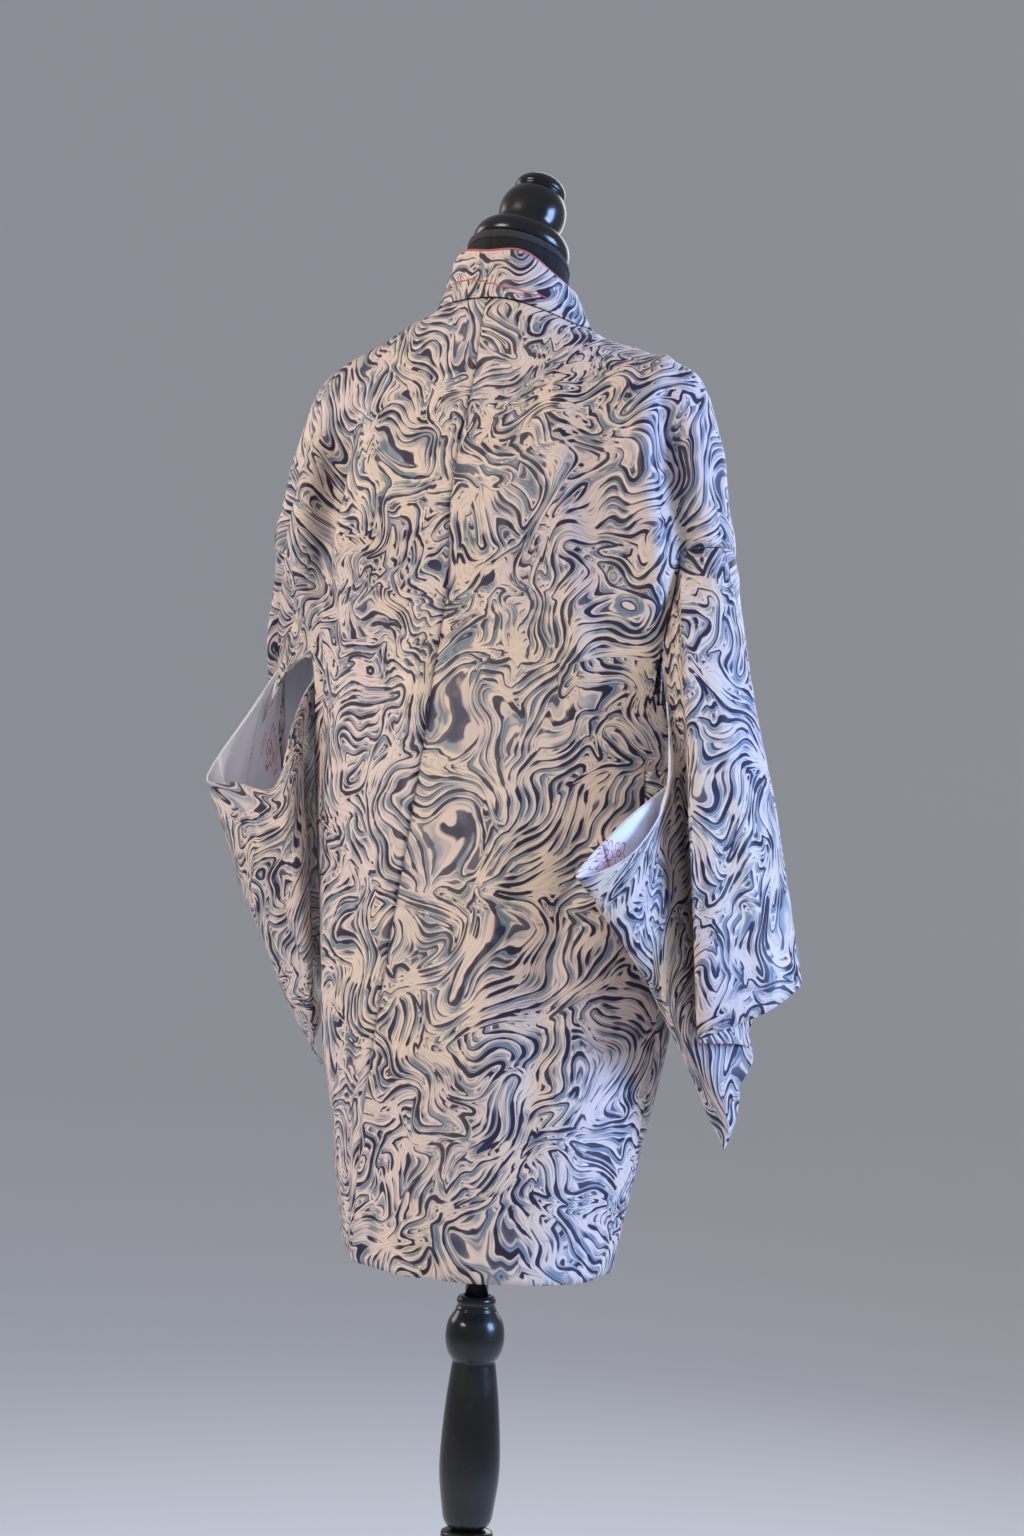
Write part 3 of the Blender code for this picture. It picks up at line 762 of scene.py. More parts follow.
def place_object(name: str, mesh: bpy.types.Mesh, materials: Sequence[Material]) -> Piece:
    """Link a piece to the scene in its place, with its materials.

    Args:
        name: The piece's name.
        mesh: Its mesh, in metres in the garment's frame.
        materials: Its materials in the order of the mesh's slots.

    Returns:
        The new object.
    """
    for material in materials:
        mesh.materials.append(material)
    obj = bpy.data.objects.new(name, mesh)
    bpy.context.scene.collection.objects.link(obj)
    for vertex in mesh.vertices:
        vertex.co += Vector(PLACE) * MM
    mesh.shade_smooth()
    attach(obj, BODY)
    LOG.info("%s: %d faces", name, len(mesh.polygons))
    return obj


@dataclass(frozen=True)
class SheetFinish:
    """How a cloth sheet is thickened: its wall, its faces and its place in the dyed bolt.

    Its rows from faced_from on take the third material outside and the fourth inside.
    """

    wall: float = 1.2
    bolt: Pair = (0.0, 0.0)
    turned: bool = False
    edge_slot: int = 1
    inner_slot: int = 1
    faced_from: int | None = None
    faced_slot: int = 2


def cloth_piece(
    name: str,
    grid: ClothGrid,
    materials: Sequence[Material],
    finish: SheetFinish,
    sign: float,
    keep: Callable[[int, int], bool] | None = None,
) -> Piece:
    """Make a cloth sheet from its middle surface.

    Args:
        name: The piece's name.
        grid: The sheet's middle surface in millimetres.
        materials: The outer and inner materials, then those of the faced rows.
        finish: The wall and the place in the bolt.
        sign: 1 where the grid's normals point outward, otherwise -1.
        keep: Tells which quads of the grid belong to the sheet.

    Returns:
        The piece, with a solidify modifier for its thickness.
    """
    quads = grid.quads(keep)
    used: dict[tuple[int, int], int] = {}
    corners: list[Spot] = []
    faces: list[tuple[int, ...]] = []
    flats: list[Pair] = []

    def corner(row: int, col: int) -> int:
        """Number a corner of the mesh, each only once.

        Args:
            row: Its row in the grid.
            col: Its column, which comes round again in a closed sheet.

        Returns:
            Its number.
        """
        key = (row, col % grid.columns)
        if key not in used:
            used[key] = len(corners)
            corners.append(tuple(float(value) * MM for value in grid.points[key]))
        return used[key]

    for row, col in quads:
        loop = [(row, col), (row + 1, col), (row + 1, col + 1), (row, col + 1)]
        if sign > 0:
            loop.reverse()
        faces.append(tuple(corner(*spot) for spot in loop))
        for spot in loop:
            along, down = (float(value) * MM for value in grid.flat[spot])
            flat = (-down, along) if finish.turned else (along, down)
            flats.append((flat[0] + finish.bolt[0], flat[1] + finish.bolt[1]))
    mesh = new_mesh(name, corners, faces)
    layer = mesh.uv_layers.new(name="flat_cut")
    for index, flat in enumerate(flats):
        layer.data[index].uv = flat
    if finish.faced_from is not None:
        for polygon, (row, _) in zip(mesh.polygons, quads):
            polygon.material_index = finish.faced_slot if row >= finish.faced_from else 0
    obj = place_object(name, mesh, materials)
    wall = obj.modifiers.new("cloth thickness", "SOLIDIFY")
    wall.thickness = finish.wall * MM
    wall.offset = 0.0
    wall.use_even_offset = False
    wall.material_offset = finish.inner_slot
    wall.material_offset_rim = finish.edge_slot
    LOG.info("%s: %.3f square metres", name, grid.area())
    return obj


# The folds drawn on each flat cut, which also carry the marks of its storage.
BODY_CREASES = {
    Side.RIGHT: (
        Crease(((173, 33), (163, 144), (177, 222), (184, 285)), 8.0, 4.5),
        Crease(((80, 60), (88, 124), (105, 209), (122, 305), (146, 388)), 13.0, 5.9),
        Crease(((82, 390), (86, 520), (105, 690)), 17.0, 6.4),
        Crease(((150, 430), (140, 560), (150, 720)), 13.0, -4.5),
        Crease(((30, 90), (48, 187), (52, 290)), 12.0, 2.2),
        Crease(((-13, 240), (-12, 500), (-14, 800)), 17.0, 3.6),
        Crease(((-20, 299), (30, 299), (106, 303), (200, 311)), 2.8, -1.3, 0.05),
        Crease(((-20, 514), (106, 508), (185, 512)), 2.8, -1.0, 0.05),
    ),
    Side.LEFT: (
        Crease(((145, 100), (158, 234), (153, 356), (149, 470)), 7.5, -5.0),
        Crease(((166, 90), (178, 234), (173, 356), (168, 440)), 7.5, 4.8),
        Crease(((95, 90), (81, 212), (76, 340)), 13.0, 3.4),
        Crease(((110, 420), (98, 560), (104, 720)), 15.0, 5.0),
        Crease(((58, 430), (52, 560), (58, 740)), 12.0, -3.1),
        Crease(((13, 240), (12, 500), (14, 800)), 17.0, 3.6),
        Crease(((-20, 323), (39, 325), (175, 345)), 2.8, -1.1, 0.05),
        Crease(((-20, 528), (60, 530), (150, 548)), 2.8, -0.8, 0.05),
    ),
}
SLEEVE_CREASES = {
    Side.RIGHT: (
        Crease(((140, 70), (206, 181), (250, 262)), 9.0, -5.9),
        Crease(((105, 80), (165, 190), (212, 268)), 11.0, 4.5),
        Crease(((46, 60), (52, 180), (54, 310)), 12.0, 4.2),
        Crease(((85, 50), (95, 160), (110, 290)), 9.0, -3.4),
    ),
    Side.LEFT: (
        Crease(((392, 50), (430, 170), (400, 290)), 10.0, -4.2),
        Crease(((360, 50), (390, 170), (360, 290)), 11.0, 3.6),
        Crease(((32, 20), (40, 120), (60, 260)), 10.0, 3.4),
    ),
}


@dataclass
class BodyPanel:
    """One half of the body: the back and the front in one piece over the shoulder."""

    side: Side
    garment: Garment
    finishes: Finishes
    back_columns: int = 74
    arm_columns: int = 16
    front_columns: int = 32
    rows_each: int = 11
    centre_gap: float = 0.15
    hem_gap: float = 0.4
    crowding: float = 1.2
    held_reach: float = 22.0
    seam_dip: float = 1.3
    seam_reach: float = 6.0
    hem_roll: float = 1.1
    hem_reach: float = 5.0
    hem_fold: float = 0.5
    hem_fold_up: float = 21.0
    hem_fold_reach: float = 1.6
    lap_start: float = 7.2
    lap_slope: float = 12.0
    lap_columns: int = 6
    flat: Pair = (0.40, 0.80)

    def angles(self, place: float) -> list[float]:
        """Space the panel's mesh lines on one ring.

        Args:
            place: A fractional row of RINGS.

        Returns:
            Their angles, from the centre back to the front edge.
        """
        back = self.garment.cut(self.side, "back", place)
        front = self.garment.cut(self.side, "front", place)
        edge = self.garment.cut(self.side, "edge", place)
        half_gap = self.centre_gap + self.hem_gap * place / HEM_ROW
        seam = math.degrees(half_gap / self.garment.rings.at(self.side.value, place))
        found = []
        for index in range(self.back_columns):
            share = 1 - (1 - index / self.back_columns) ** self.crowding
            found.append(seam + (back - seam) * share)
        for start, end, count in (
            (back, 90, self.arm_columns),
            (90, front, self.arm_columns),
            (front, edge, self.front_columns),
        ):
            found += [start + (end - start) * index / count for index in range(count)]
        return found + [edge]

    def grid(self) -> ClothGrid:
        """Lay out the panel's middle surface, row by row from the neck to the hem."""
        rows = []
        for row in range(HEM_ROW * self.rows_each + 1):
            place = row / self.rows_each
            angles = self.angles(place)
            rows.append([self.garment.point(self.side, angle, place) for angle in angles])
        return ClothGrid(np.array(rows))

    def keep(self, row: int, col: int) -> bool:
        """Tell whether a quad is cloth: below the armhole the side stands open.

        On the right the back's edge widens forward behind the sleeve, down to the side strip.

        Args:
            row: The quad's row in the grid.
            col: Its column.

        Returns:
            Whether it belongs to the panel.
        """
        past_back = col - self.back_columns
        if row < ARMHOLE_ROW * self.rows_each or not 0 <= past_back < 2 * self.arm_columns:
            return True
        below = row / self.rows_each - self.lap_start
        lap = min(self.lap_columns, int(below * self.lap_slope)) if below > 0 else 0
        return self.side is Side.RIGHT and row < GUSSET_ROW * self.rows_each and past_back < lap

    def seam_push(self, grid: ClothGrid, sign: float) -> None:
        """Sink the cloth a little along the centre-back seam and roll the hem under.

        Args:
            grid: The panel.
            sign: 1 where its normals point outward, otherwise -1.
        """
        away = grid.flat[:, :, 0]
        dip = self.seam_dip * np.clip(1 - away / self.seam_reach, 0, 1) ** 2
        up = grid.flat[-1:, :, 1] - grid.flat[:, :, 1]
        dip = dip + self.hem_roll * np.clip(1 - up / self.hem_reach, 0, 1) ** 2
        line = self.hem_fold * np.exp(-(((up - self.hem_fold_up) / self.hem_fold_reach) ** 2))
        grid.push(sign, -(dip + line))

    def build(self) -> None:
        grid = self.grid()
        sign = grid.outward(from_pole=True)
        held = held_by_edges(grid, self.held_reach, top=True, sides=True)
        Wrinkles(drag=1.9, crumple=0.45, seed=2.0 + self.side.sign).apply(grid, sign, held)
        fold_cloth(grid, sign, BODY_CREASES[self.side])
        self.seam_push(grid, sign)
        name = f"body_{self.side.value}"
        piece = cloth_piece(
            f"{name}_cloth",
            grid,
            (self.finishes.print_silk, self.finishes.lining_silk),
            SheetFinish(bolt=BOLT_PLACES[name]),
            sign,
            self.keep,
        )
        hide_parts(name)


@dataclass
class Gusset:
    """The strip between back and front below a side opening."""

    side: Side
    garment: Garment
    finishes: Finishes
    columns: int = 14
    rows_each: int = 9
    gap: float = 0.5
    seam_dip: float = 1.2
    seam_reach: float = 5.0
    flat: Pair = (0.11, 0.40)

    def grid(self) -> ClothGrid:
        """Lay out the strip from the side opening to the hem."""
        rows = []
        for row in range((HEM_ROW - GUSSET_ROW) * self.rows_each + 1):
            place = GUSSET_ROW + row / self.rows_each
            gap = math.degrees(self.gap / self.garment.rings.at(self.side.value, place))
            back = self.garment.cut(self.side, "back", place) + gap
            front = self.garment.cut(self.side, "front", place) - gap
            shares = (col / self.columns for col in range(self.columns + 1))
            angles = (back + (front - back) * share for share in shares)
            rows.append([self.garment.point(self.side, angle, place) for angle in angles])
        return ClothGrid(np.array(rows))

    def build(self) -> None:
        grid = self.grid()
        sign = grid.outward(from_pole=True)
        along = grid.flat[:, :, 0]
        away = np.minimum(along, along[:, -1:] - along)
        grid.push(sign, -self.seam_dip * np.clip(1 - away / self.seam_reach, 0, 1) ** 2)
        name = f"gusset_{self.side.value}"
        piece = cloth_piece(
            f"{name}_cloth",
            grid,
            (self.finishes.print_silk, self.finishes.lining_silk),
            SheetFinish(bolt=BOLT_PLACES[name]),
            sign,
        )
        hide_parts(name)


@dataclass
class Sleeve:
    """One sleeve: a flat tube hanging from the armhole, with the lining that shows in it."""

    side: Side
    garment: Garment
    finishes: Finishes
    ribs: tuple[Rib, ...]
    lining_ribs: Pair
    lining_flat: Pair
    root_gap: float = 1.0
    side_gap: float = 0.8
    steps_each: int = 12
    rows: int = 84
    held_reach: float = 20.0
    lining_reach: float = 5 / 9
    lining_space: float = 1.5
    lining_wall: float = 0.6
    faced_from: int = 66
    flat: Pair = (0.45, 0.34)

    def loop_point(self, spots: Sequence[Spot], place: float) -> Spot:
        """Find a point of the closed loop through one spot of each rib."""
        x, y, z = (curve_through([spot[i] for spot in spots], place, True) for i in range(3))
        return (self.side.sign * x, y, z)

    def root(self, place: float) -> Spot:
        """Find a point of the upper edge: the armhole seam, then the free opening.

        Args:
            place: A fractional rib.

        Returns:
            The point in millimetres.
        """
        count = len(self.ribs)
        start = int(math.floor(place)) % count
        first = self.ribs[start].root
        second = self.ribs[(start + 1) % count].root
        if len(first) == 1 and len(second) == 1:
            angle = first[0] + (second[0] - first[0]) * (place - math.floor(place))
            return self.garment.seam_point(self.side, angle, self.side_gap)
        spots: list[Spot] = []
        for rib in self.ribs:
            if len(rib.root) == 1:
                spot = self.garment.seam_point(self.side, rib.root[0], self.side_gap)
                spots.append((self.side.sign * spot[0], spot[1], spot[2]))
            else:
                spots.append(rib.root)
        return self.loop_point(spots, place)

    def point(self, place: float, along: float) -> Spot:
        """Return a point of the sleeve.

        Args:
            place: A fractional rib, round the sleeve.
            along: From 0 at the root to 1 at the cuff.

        Returns:
            The point in millimetres.
        """
        middle = self.loop_point([rib.middle for rib in self.ribs], place)
        cuff = self.loop_point([rib.cuff for rib in self.ribs], place)
        root = self.root(place)
        share = self.root_gap / math.dist(root, middle)
        root = tuple(a + (b - a) * share for a, b in zip(root, middle))
        # The parabola through the root, the middle and the cuff.
        near = 2 * (along - 0.5) * (along - 1)
        centre = 4 * along * (1 - along)
        far = 2 * along * (along - 0.5)
        return tuple(near * a + centre * b + far * c for a, b, c in zip(root, middle, cuff))

    def grid(self) -> ClothGrid:
        """Lay out the sleeve from the root to the cuff."""
        around = len(self.ribs) * self.steps_each
        rows = []
        for row in range(self.rows + 1):
            along = row / self.rows
            rows.append([self.point(step / self.steps_each, along) for step in range(around)])
        return ClothGrid(np.array(rows), closed=True)

    def build(self) -> None:
        """Make and dress the sleeve and its lining."""
        grid = self.grid()
        sign = grid.outward()
        held = held_by_edges(grid, self.held_reach, top=True, sides=False)
        wrinkles = Wrinkles(
            drag=1.8,
            drag_across=40.0,
            drag_down=150.0,
            crumple=0.45,
            seed=6.0 + self.side.sign,
        )
        wrinkles.apply(grid, sign, held)
        fold_cloth(grid, sign, SLEEVE_CREASES[self.side])
        name = f"sleeve_{self.side.value}"
        bolt = BOLT_PLACES[name]
        printed = self.finishes.print_silk
        cloth = cloth_piece(
            f"{name}_cloth",
            grid,
            (printed, self.finishes.flower_silk, printed, printed),
            SheetFinish(bolt=bolt, faced_from=self.faced_from),
            sign,
        )
        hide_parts(name)
        first, last = (int(round(rib * self.steps_each)) for rib in self.lining_ribs)
        bottom = int(round(self.rows * self.lining_reach))
        moved = grid.points - grid.normals() * sign * self.lining_space
        panel = ClothGrid(moved[: bottom + 1, first : last + 1])
        start = (bolt[0] + float(grid.flat[0, first, 0]) * MM, bolt[1])
        lining = cloth_piece(
            f"sleeve_lining_{self.side.value}_cloth",
            panel,
            (self.finishes.flower_silk, self.finishes.flower_silk),
            SheetFinish(wall=self.lining_wall, bolt=start, inner_slot=0, edge_slot=0),
            -sign,
        )
        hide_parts(f"sleeve_lining_{self.side.value}")


@dataclass
class Collar:
    """The long folded band round the neck and down both front edges."""

    garment: Garment
    finishes: Finishes
    bands: Table = field(default_factory=lambda: Table(COLLAR))
    steps: int = 14
    columns: int = 18
    gap: float = 1.2
    wall: float = 3.4
    edge_round: float = 1.2
    edge_angle: float = 50.0
    held_reach: float = 16.0
    wave: float = 2.5
    waves: int = 6
    wave_end: int = 3
    turn_end: float = 6.0
    turn_rows: float = 1.5
    front_lean: float = 0.25
    flat: Pair = (0.060, 1.78)
    lining_rim: float = 1.0
    lining_rise: float = 0.34
    lining_rows: float = 4.2
    thread: float = 0.55
    thread_rows: float = 1.7
    thread_proud: float = 0.1
    thread_place: float = 0.30
    thread_rise: float = 0.07
    thread_wave: float = 0.05
    thread_waves: float = 4.0
    cord_sides: int = 8

    def line(self, side: Side, place: float) -> list[Spot]:
        """Lay out one line across the band's width.

        Args:
            side: The half of the band.
            place: A fractional row of COLLAR.

        Returns:
            The points of the line, from its seam to its free edge.
        """
        ring = max(self.bands.at("ring", place), 0.0)
        angle = self.bands.at("angle", place)
        if place > NECK_BANDS:
            angle = self.garment.cut(side, "edge", ring)
        width = self.bands.at("width", place)
        rise = math.radians(self.bands.at("rise", place))
        foot = self.garment.point(side, angle, ring)
        turn = math.radians(angle)
        level = min(max((self.turn_end - place) / self.turn_rows, 0.0), 1.0)
        inward_x = -side.sign * math.sin(turn) * level - side.sign * (1 - level)
        inward_y = -math.cos(turn) * level - self.front_lean * (1 - level)
        size = math.hypot(inward_x, inward_y)
        direction = (
            inward_x / size * math.cos(rise),
            inward_y / size * math.cos(rise),
            math.sin(rise),
        )
        wave = self.wave * math.cos(math.radians(self.waves * angle))
        wave *= max(0.0, 1 - place / self.wave_end)
        found = []
        for col in range(self.columns + 1):
            share = col / self.columns
            reach = self.gap + (width - wave * share - self.gap) * share
            found.append(tuple(a + reach * d for a, d in zip(foot, direction)))
        return found

    def grid(self) -> ClothGrid:
        """Lay out the band from the right front hem round the neck to the left front hem."""
        count = (len(COLLAR) - 1) * self.steps
        rows = [self.line(Side.RIGHT, step / self.steps) for step in range(count, 0, -1)]
        rows += [self.line(Side.LEFT, step / self.steps) for step in range(count + 1)]
        return ClothGrid(np.array(rows))

    def build(self) -> None:
        """Make and dress the band, its lining's edge and the stitched thread on it."""
        grid = self.grid()
        sign = self.facing(grid)
        held = held_by_edges(grid, self.held_reach, top=False, sides=True)
        wrinkles = Wrinkles(drag=0.7, drag_across=70.0, drag_down=60.0, crumple=0.3, seed=12.0)
        wrinkles.apply(grid, sign, held)
        band = cloth_piece(
            "collar_cloth",
            grid,
            (self.finishes.print_silk, self.finishes.print_silk),
            SheetFinish(
                wall=self.wall,
                bolt=BOLT_PLACES["collar"],
                turned=True,
                edge_slot=0,
                inner_slot=0,
            ),
            sign,
        )
        soft = band.modifiers.new("folded edge", "BEVEL")
        soft.width = self.edge_round * MM
        soft.segments = 3
        soft.limit_method = "ANGLE"
        soft.angle_limit = math.radians(self.edge_angle)
        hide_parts("collar")
        rim = self.rim(grid)
        thread = self.stitches(grid, sign)

    def facing(self, grid: ClothGrid) -> float:
        """Return the sign that turns the normals away from the neck."""
        return 1.0 if float(grid.normals()[grid.rows // 2, 0, 1]) > 0 else -1.0

    def rim(self, grid: ClothGrid) -> Piece:
        """Lay the narrow edge of the lining along the fold at the back of the neck.

        Args:
            grid: The band.

        Returns:
            The edge.
        """
        middle = grid.rows // 2
        reach = int(self.lining_rows * self.steps)
        line = grid.points[middle - reach : middle + reach + 1, -1]
        path = [tuple(spot + [0.0, 0.0, self.wall * self.lining_rise]) for spot in line]
        return self.cord_on(path, "collar_lining_edge", self.lining_rim)

    def stitches(self, grid: ClothGrid, sign: float) -> Piece:
        """Run the row of red thread across the back of the band.

        Args:
            grid: The band.
            sign: 1 where its normals point away from the neck, otherwise -1.

        Returns:
            The thread.
        """
        normals = grid.normals() * sign
        middle = grid.rows // 2
        reach = int(self.thread_rows * self.steps)
        path = []
        for row in range(middle - reach, middle + reach + 1):
            share = (row - middle) / reach
            wave = self.thread_wave * math.sin(self.thread_waves * share)
            across = self.thread_place + wave + self.thread_rise * share
            col = int(round(self.columns * across))
            proud = normals[row, col] * (self.wall / 2 + self.thread_proud)
            path.append(tuple(grid.points[row, col] + proud))
        return self.cord_on(path, "collar_stitches", self.thread)

    def cord_on(self, path: Sequence[Spot], name: str, radius: float) -> Piece:
        """Sweep a round red thread along a path on the band.

        Args:
            path: The points of its middle line in millimetres.
            name: The piece's name.
            radius: The thread's radius in millimetres.

        Returns:
            The new piece.
        """
        radii = [radius] * len(path)
        piece = swept_tube(name, path, radii, self.cord_sides, self.finishes.red_thread)
        return piece


def swept_tube(
    name: str,
    path: Sequence[Spot],
    radii: Sequence[float],
    sides: int,
    material: Material,
) -> Piece:
    """Sweep a closed round tube along a path.

    Args:
        name: The piece's name.
        path: The points of its middle line in millimetres.
        radii: The radius at each of them.
        sides: The number of faces round the tube.
        material: Its finish.

    Returns:
        The new piece.
    """
    line = np.array(path, dtype=float)
    heading = np.gradient(line, axis=0)
    heading /= np.maximum(np.linalg.norm(heading, axis=1, keepdims=True), TINY)
    corners: list[Spot] = []
    faces: list[tuple[int, ...]] = []
    # The first normal is level, unless the path starts almost upright.
    normal = np.cross(heading[0], [0.0, 0.0, 1.0])
    if float(np.linalg.norm(normal)) < 0.1:
        normal = np.array([0.0, 1.0, 0.0])
    for centre, along, radius in zip(line, heading, radii):
        normal = normal - along * float(normal @ along)
        normal = normal / np.linalg.norm(normal)
        other = np.cross(along, normal)
        for step in range(sides):
            turn = 2 * math.pi * step / sides
            spot = centre + radius * (math.cos(turn) * normal + math.sin(turn) * other)
            corners.append(tuple(spot * MM))
    for row in range(len(line) - 1):
        for step in range(sides):
            first = row * sides + step
            second = row * sides + (step + 1) % sides
            faces.append((first, second, second + sides, first + sides))
    faces.append(tuple(reversed(range(sides))))
    faces.append(tuple(range(len(corners) - sides, len(corners))))
    return place_object(name, new_mesh(name, corners, faces), (material,))


def softened(profile: Sequence[Pair], passes: int = 2) -> list[Pair]:
    """Round the corners of a turned profile by cutting each of them short.

    Args:
        profile: Radius and height of each point, from the foot.
        passes: How often the corners are cut.

    Returns:
        The smoother profile, with the same two ends.
    """
    line = list(profile)
    for _ in range(passes):
        cut = [line[0]]
        for (r_a, z_a), (r_b, z_b) in zip(line, line[1:]):
            for share in (CORNER_CUT, 1 - CORNER_CUT):
                cut.append((r_a + (r_b - r_a) * share, z_a + (z_b - z_a) * share))
        cut.append(line[-1])
        line = cut
    return line


def turned_piece(
    name: str,
    profile: Sequence[Pair],
    material: Material,
    foot: Spot = (0.0, 0.0, 0.0),
    lean: float = 0.0,
    steps: int = 96,
) -> Piece:
    """Turn a profile about its own upright axis.

    Args:
        name: The piece's name.
        profile: Radius and height of each point, from the foot, in millimetres.
        material: Its finish.
        foot: Where the axis starts.
        lean: How far the axis leans forward, in degrees.
        steps: The number of faces round the piece.

    Returns:
        The new piece.
    """
    turn = math.radians(lean)
    corners: list[Spot] = []
    faces: list[tuple[int, ...]] = []
    rings: list[list[int]] = []
    for radius, height in profile:
        ring = []
        for step in range(1 if radius < AXIS_RADIUS else steps):
            angle = 2 * math.pi * step / steps
            x = radius * math.cos(angle)
            y = radius * math.sin(angle) * math.cos(turn) - height * math.sin(turn)
            z = radius * math.sin(angle) * math.sin(turn) + height * math.cos(turn)
            ring.append(len(corners))
            corners.append(tuple((a + b) * MM for a, b in zip((x, y, z), foot)))
        rings.append(ring)
    for lower, upper in zip(rings, rings[1:]):
        for step in range(steps):
            after = (step + 1) % steps
            loop = [lower[step % len(lower)], lower[after % len(lower)]]
            loop += [upper[after % len(upper)], upper[step % len(upper)]]
            clean = list(dict.fromkeys(loop))
            if len(clean) > 2:
                faces.append(tuple(clean))
    return place_object(name, new_mesh(name, corners, faces), (material,))


@dataclass
class DressForm:
    """The padded torso and neck that carry the haori, with its seams and neck trim."""

    finishes: Finishes
    rings: Table = field(default_factory=lambda: Table(FORM))
    around: int = 128
    steps: int = 8
    seam_depth: float = 0.9
    seam_reach: float = 1.6
    seam_angles: tuple[float, ...] = (0.0, 62.0, 118.0, 180.0, 242.0, 298.0)
    trim_height: float = 10.0
    trim_span: float = 34.0
    trim_proud: float = 0.7
    trim_start: float = 0.12
    trim_part: float = 0.76
    trim_rows: int = 10
    trim_wall: float = 0.5
    finial_foot: Spot = (3, -2.0, 1440.1)
    finial_lean: float = 25.0

    def point(self, angle: float, place: float) -> Spot:
        """Find a point of the form's surface.

        Args:
            angle: Degrees from the centre back, all the way round.
            place: A fractional row of FORM.

        Returns:
            The point in millimetres.
        """
        turn = math.radians(angle)
        end = "back" if math.cos(turn) > 0 else "front"
        side = self.rings.at("side", place)
        depth = self.rings.at(end, place)
        z_side = self.rings.at("z_side", place)
        z_end = self.rings.at("z_" + end, place)
        bend = self.rings.at("bend", place)
        height = z_side + (z_end - z_side) * abs(math.cos(turn)) ** bend
        away = min(abs((angle - seam + 180) % 360 - 180) for seam in self.seam_angles)
        reach = away * math.radians(1) * min(side, depth)
        groove = self.seam_depth * math.exp(-((reach / self.seam_reach) ** 2))
        groove = 1 - groove / min(side, depth)
        shift = self.rings.at("shift", place)
        x, y = side * groove * math.sin(turn), depth * groove * math.cos(turn)
        return (shift + x, y, height)

    def torso(self) -> None:
        """Loft the torso from its flat underside to the top of the neck."""
        count = (len(FORM) - 1) * self.steps
        corners: list[Spot] = []
        for row in range(count + 1):
            for step in range(self.around):
                spot = self.point(360 * step / self.around, row / self.steps)
                corners.append(tuple(value * MM for value in spot))
        faces: list[tuple[int, ...]] = []
        for row in range(count):
            for step in range(self.around):
                after = (step + 1) % self.around
                lower, upper = row * self.around, (row + 1) * self.around
                faces.append((lower + step, upper + step, upper + after, lower + after))
        faces.append(tuple(range(self.around)))
        top = count * self.around
        faces.append(tuple(reversed(range(top, top + self.around))))
        mesh = new_mesh("form_torso_cover", corners, faces)
        piece = place_object("form_torso_cover", mesh, (self.finishes.jersey,))
        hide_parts("form_torso")

    def trim(self) -> None:
        """Wrap the braided trim round the top of the neck, just under the cap."""
        last = len(FORM) - 1
        share = self.trim_height / self.trim_span
        points = []
        for row in range(self.trim_rows + 1):
            place = last - share + share * row / self.trim_rows
            turn = math.pi * (self.trim_start + self.trim_part * row / self.trim_rows)
            crown = self.trim_proud * math.sin(turn)
            ring = []
            for step in range(self.around):
                x, y, z = self.point(360 * step / self.around, place)
                size = math.hypot(x, y)
                ring.append((x * (1 + crown / size), y * (1 + crown / size), z))
            points.append(ring)
        grid = ClothGrid(np.array(points), closed=True)
        piece = cloth_piece(
            "neck_braid",
            grid,
            (self.finishes.braid, self.finishes.braid),
            SheetFinish(wall=self.trim_wall, edge_slot=0, inner_slot=0),
            grid.outward(),
        )

    def cap(self) -> None:
        """Turn the cap that closes the neck and leans forward with it."""
        piece = turned_piece(
            "finial_turned",
            softened(FINIAL_PROFILE),
            self.finishes.lacquer,
            self.finial_foot,
            self.finial_lean,
        )
        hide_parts("finial")

    def build(self) -> None:
        """Make the torso, its trim and the cap."""
        self.torso()
        self.trim()
        self.cap()


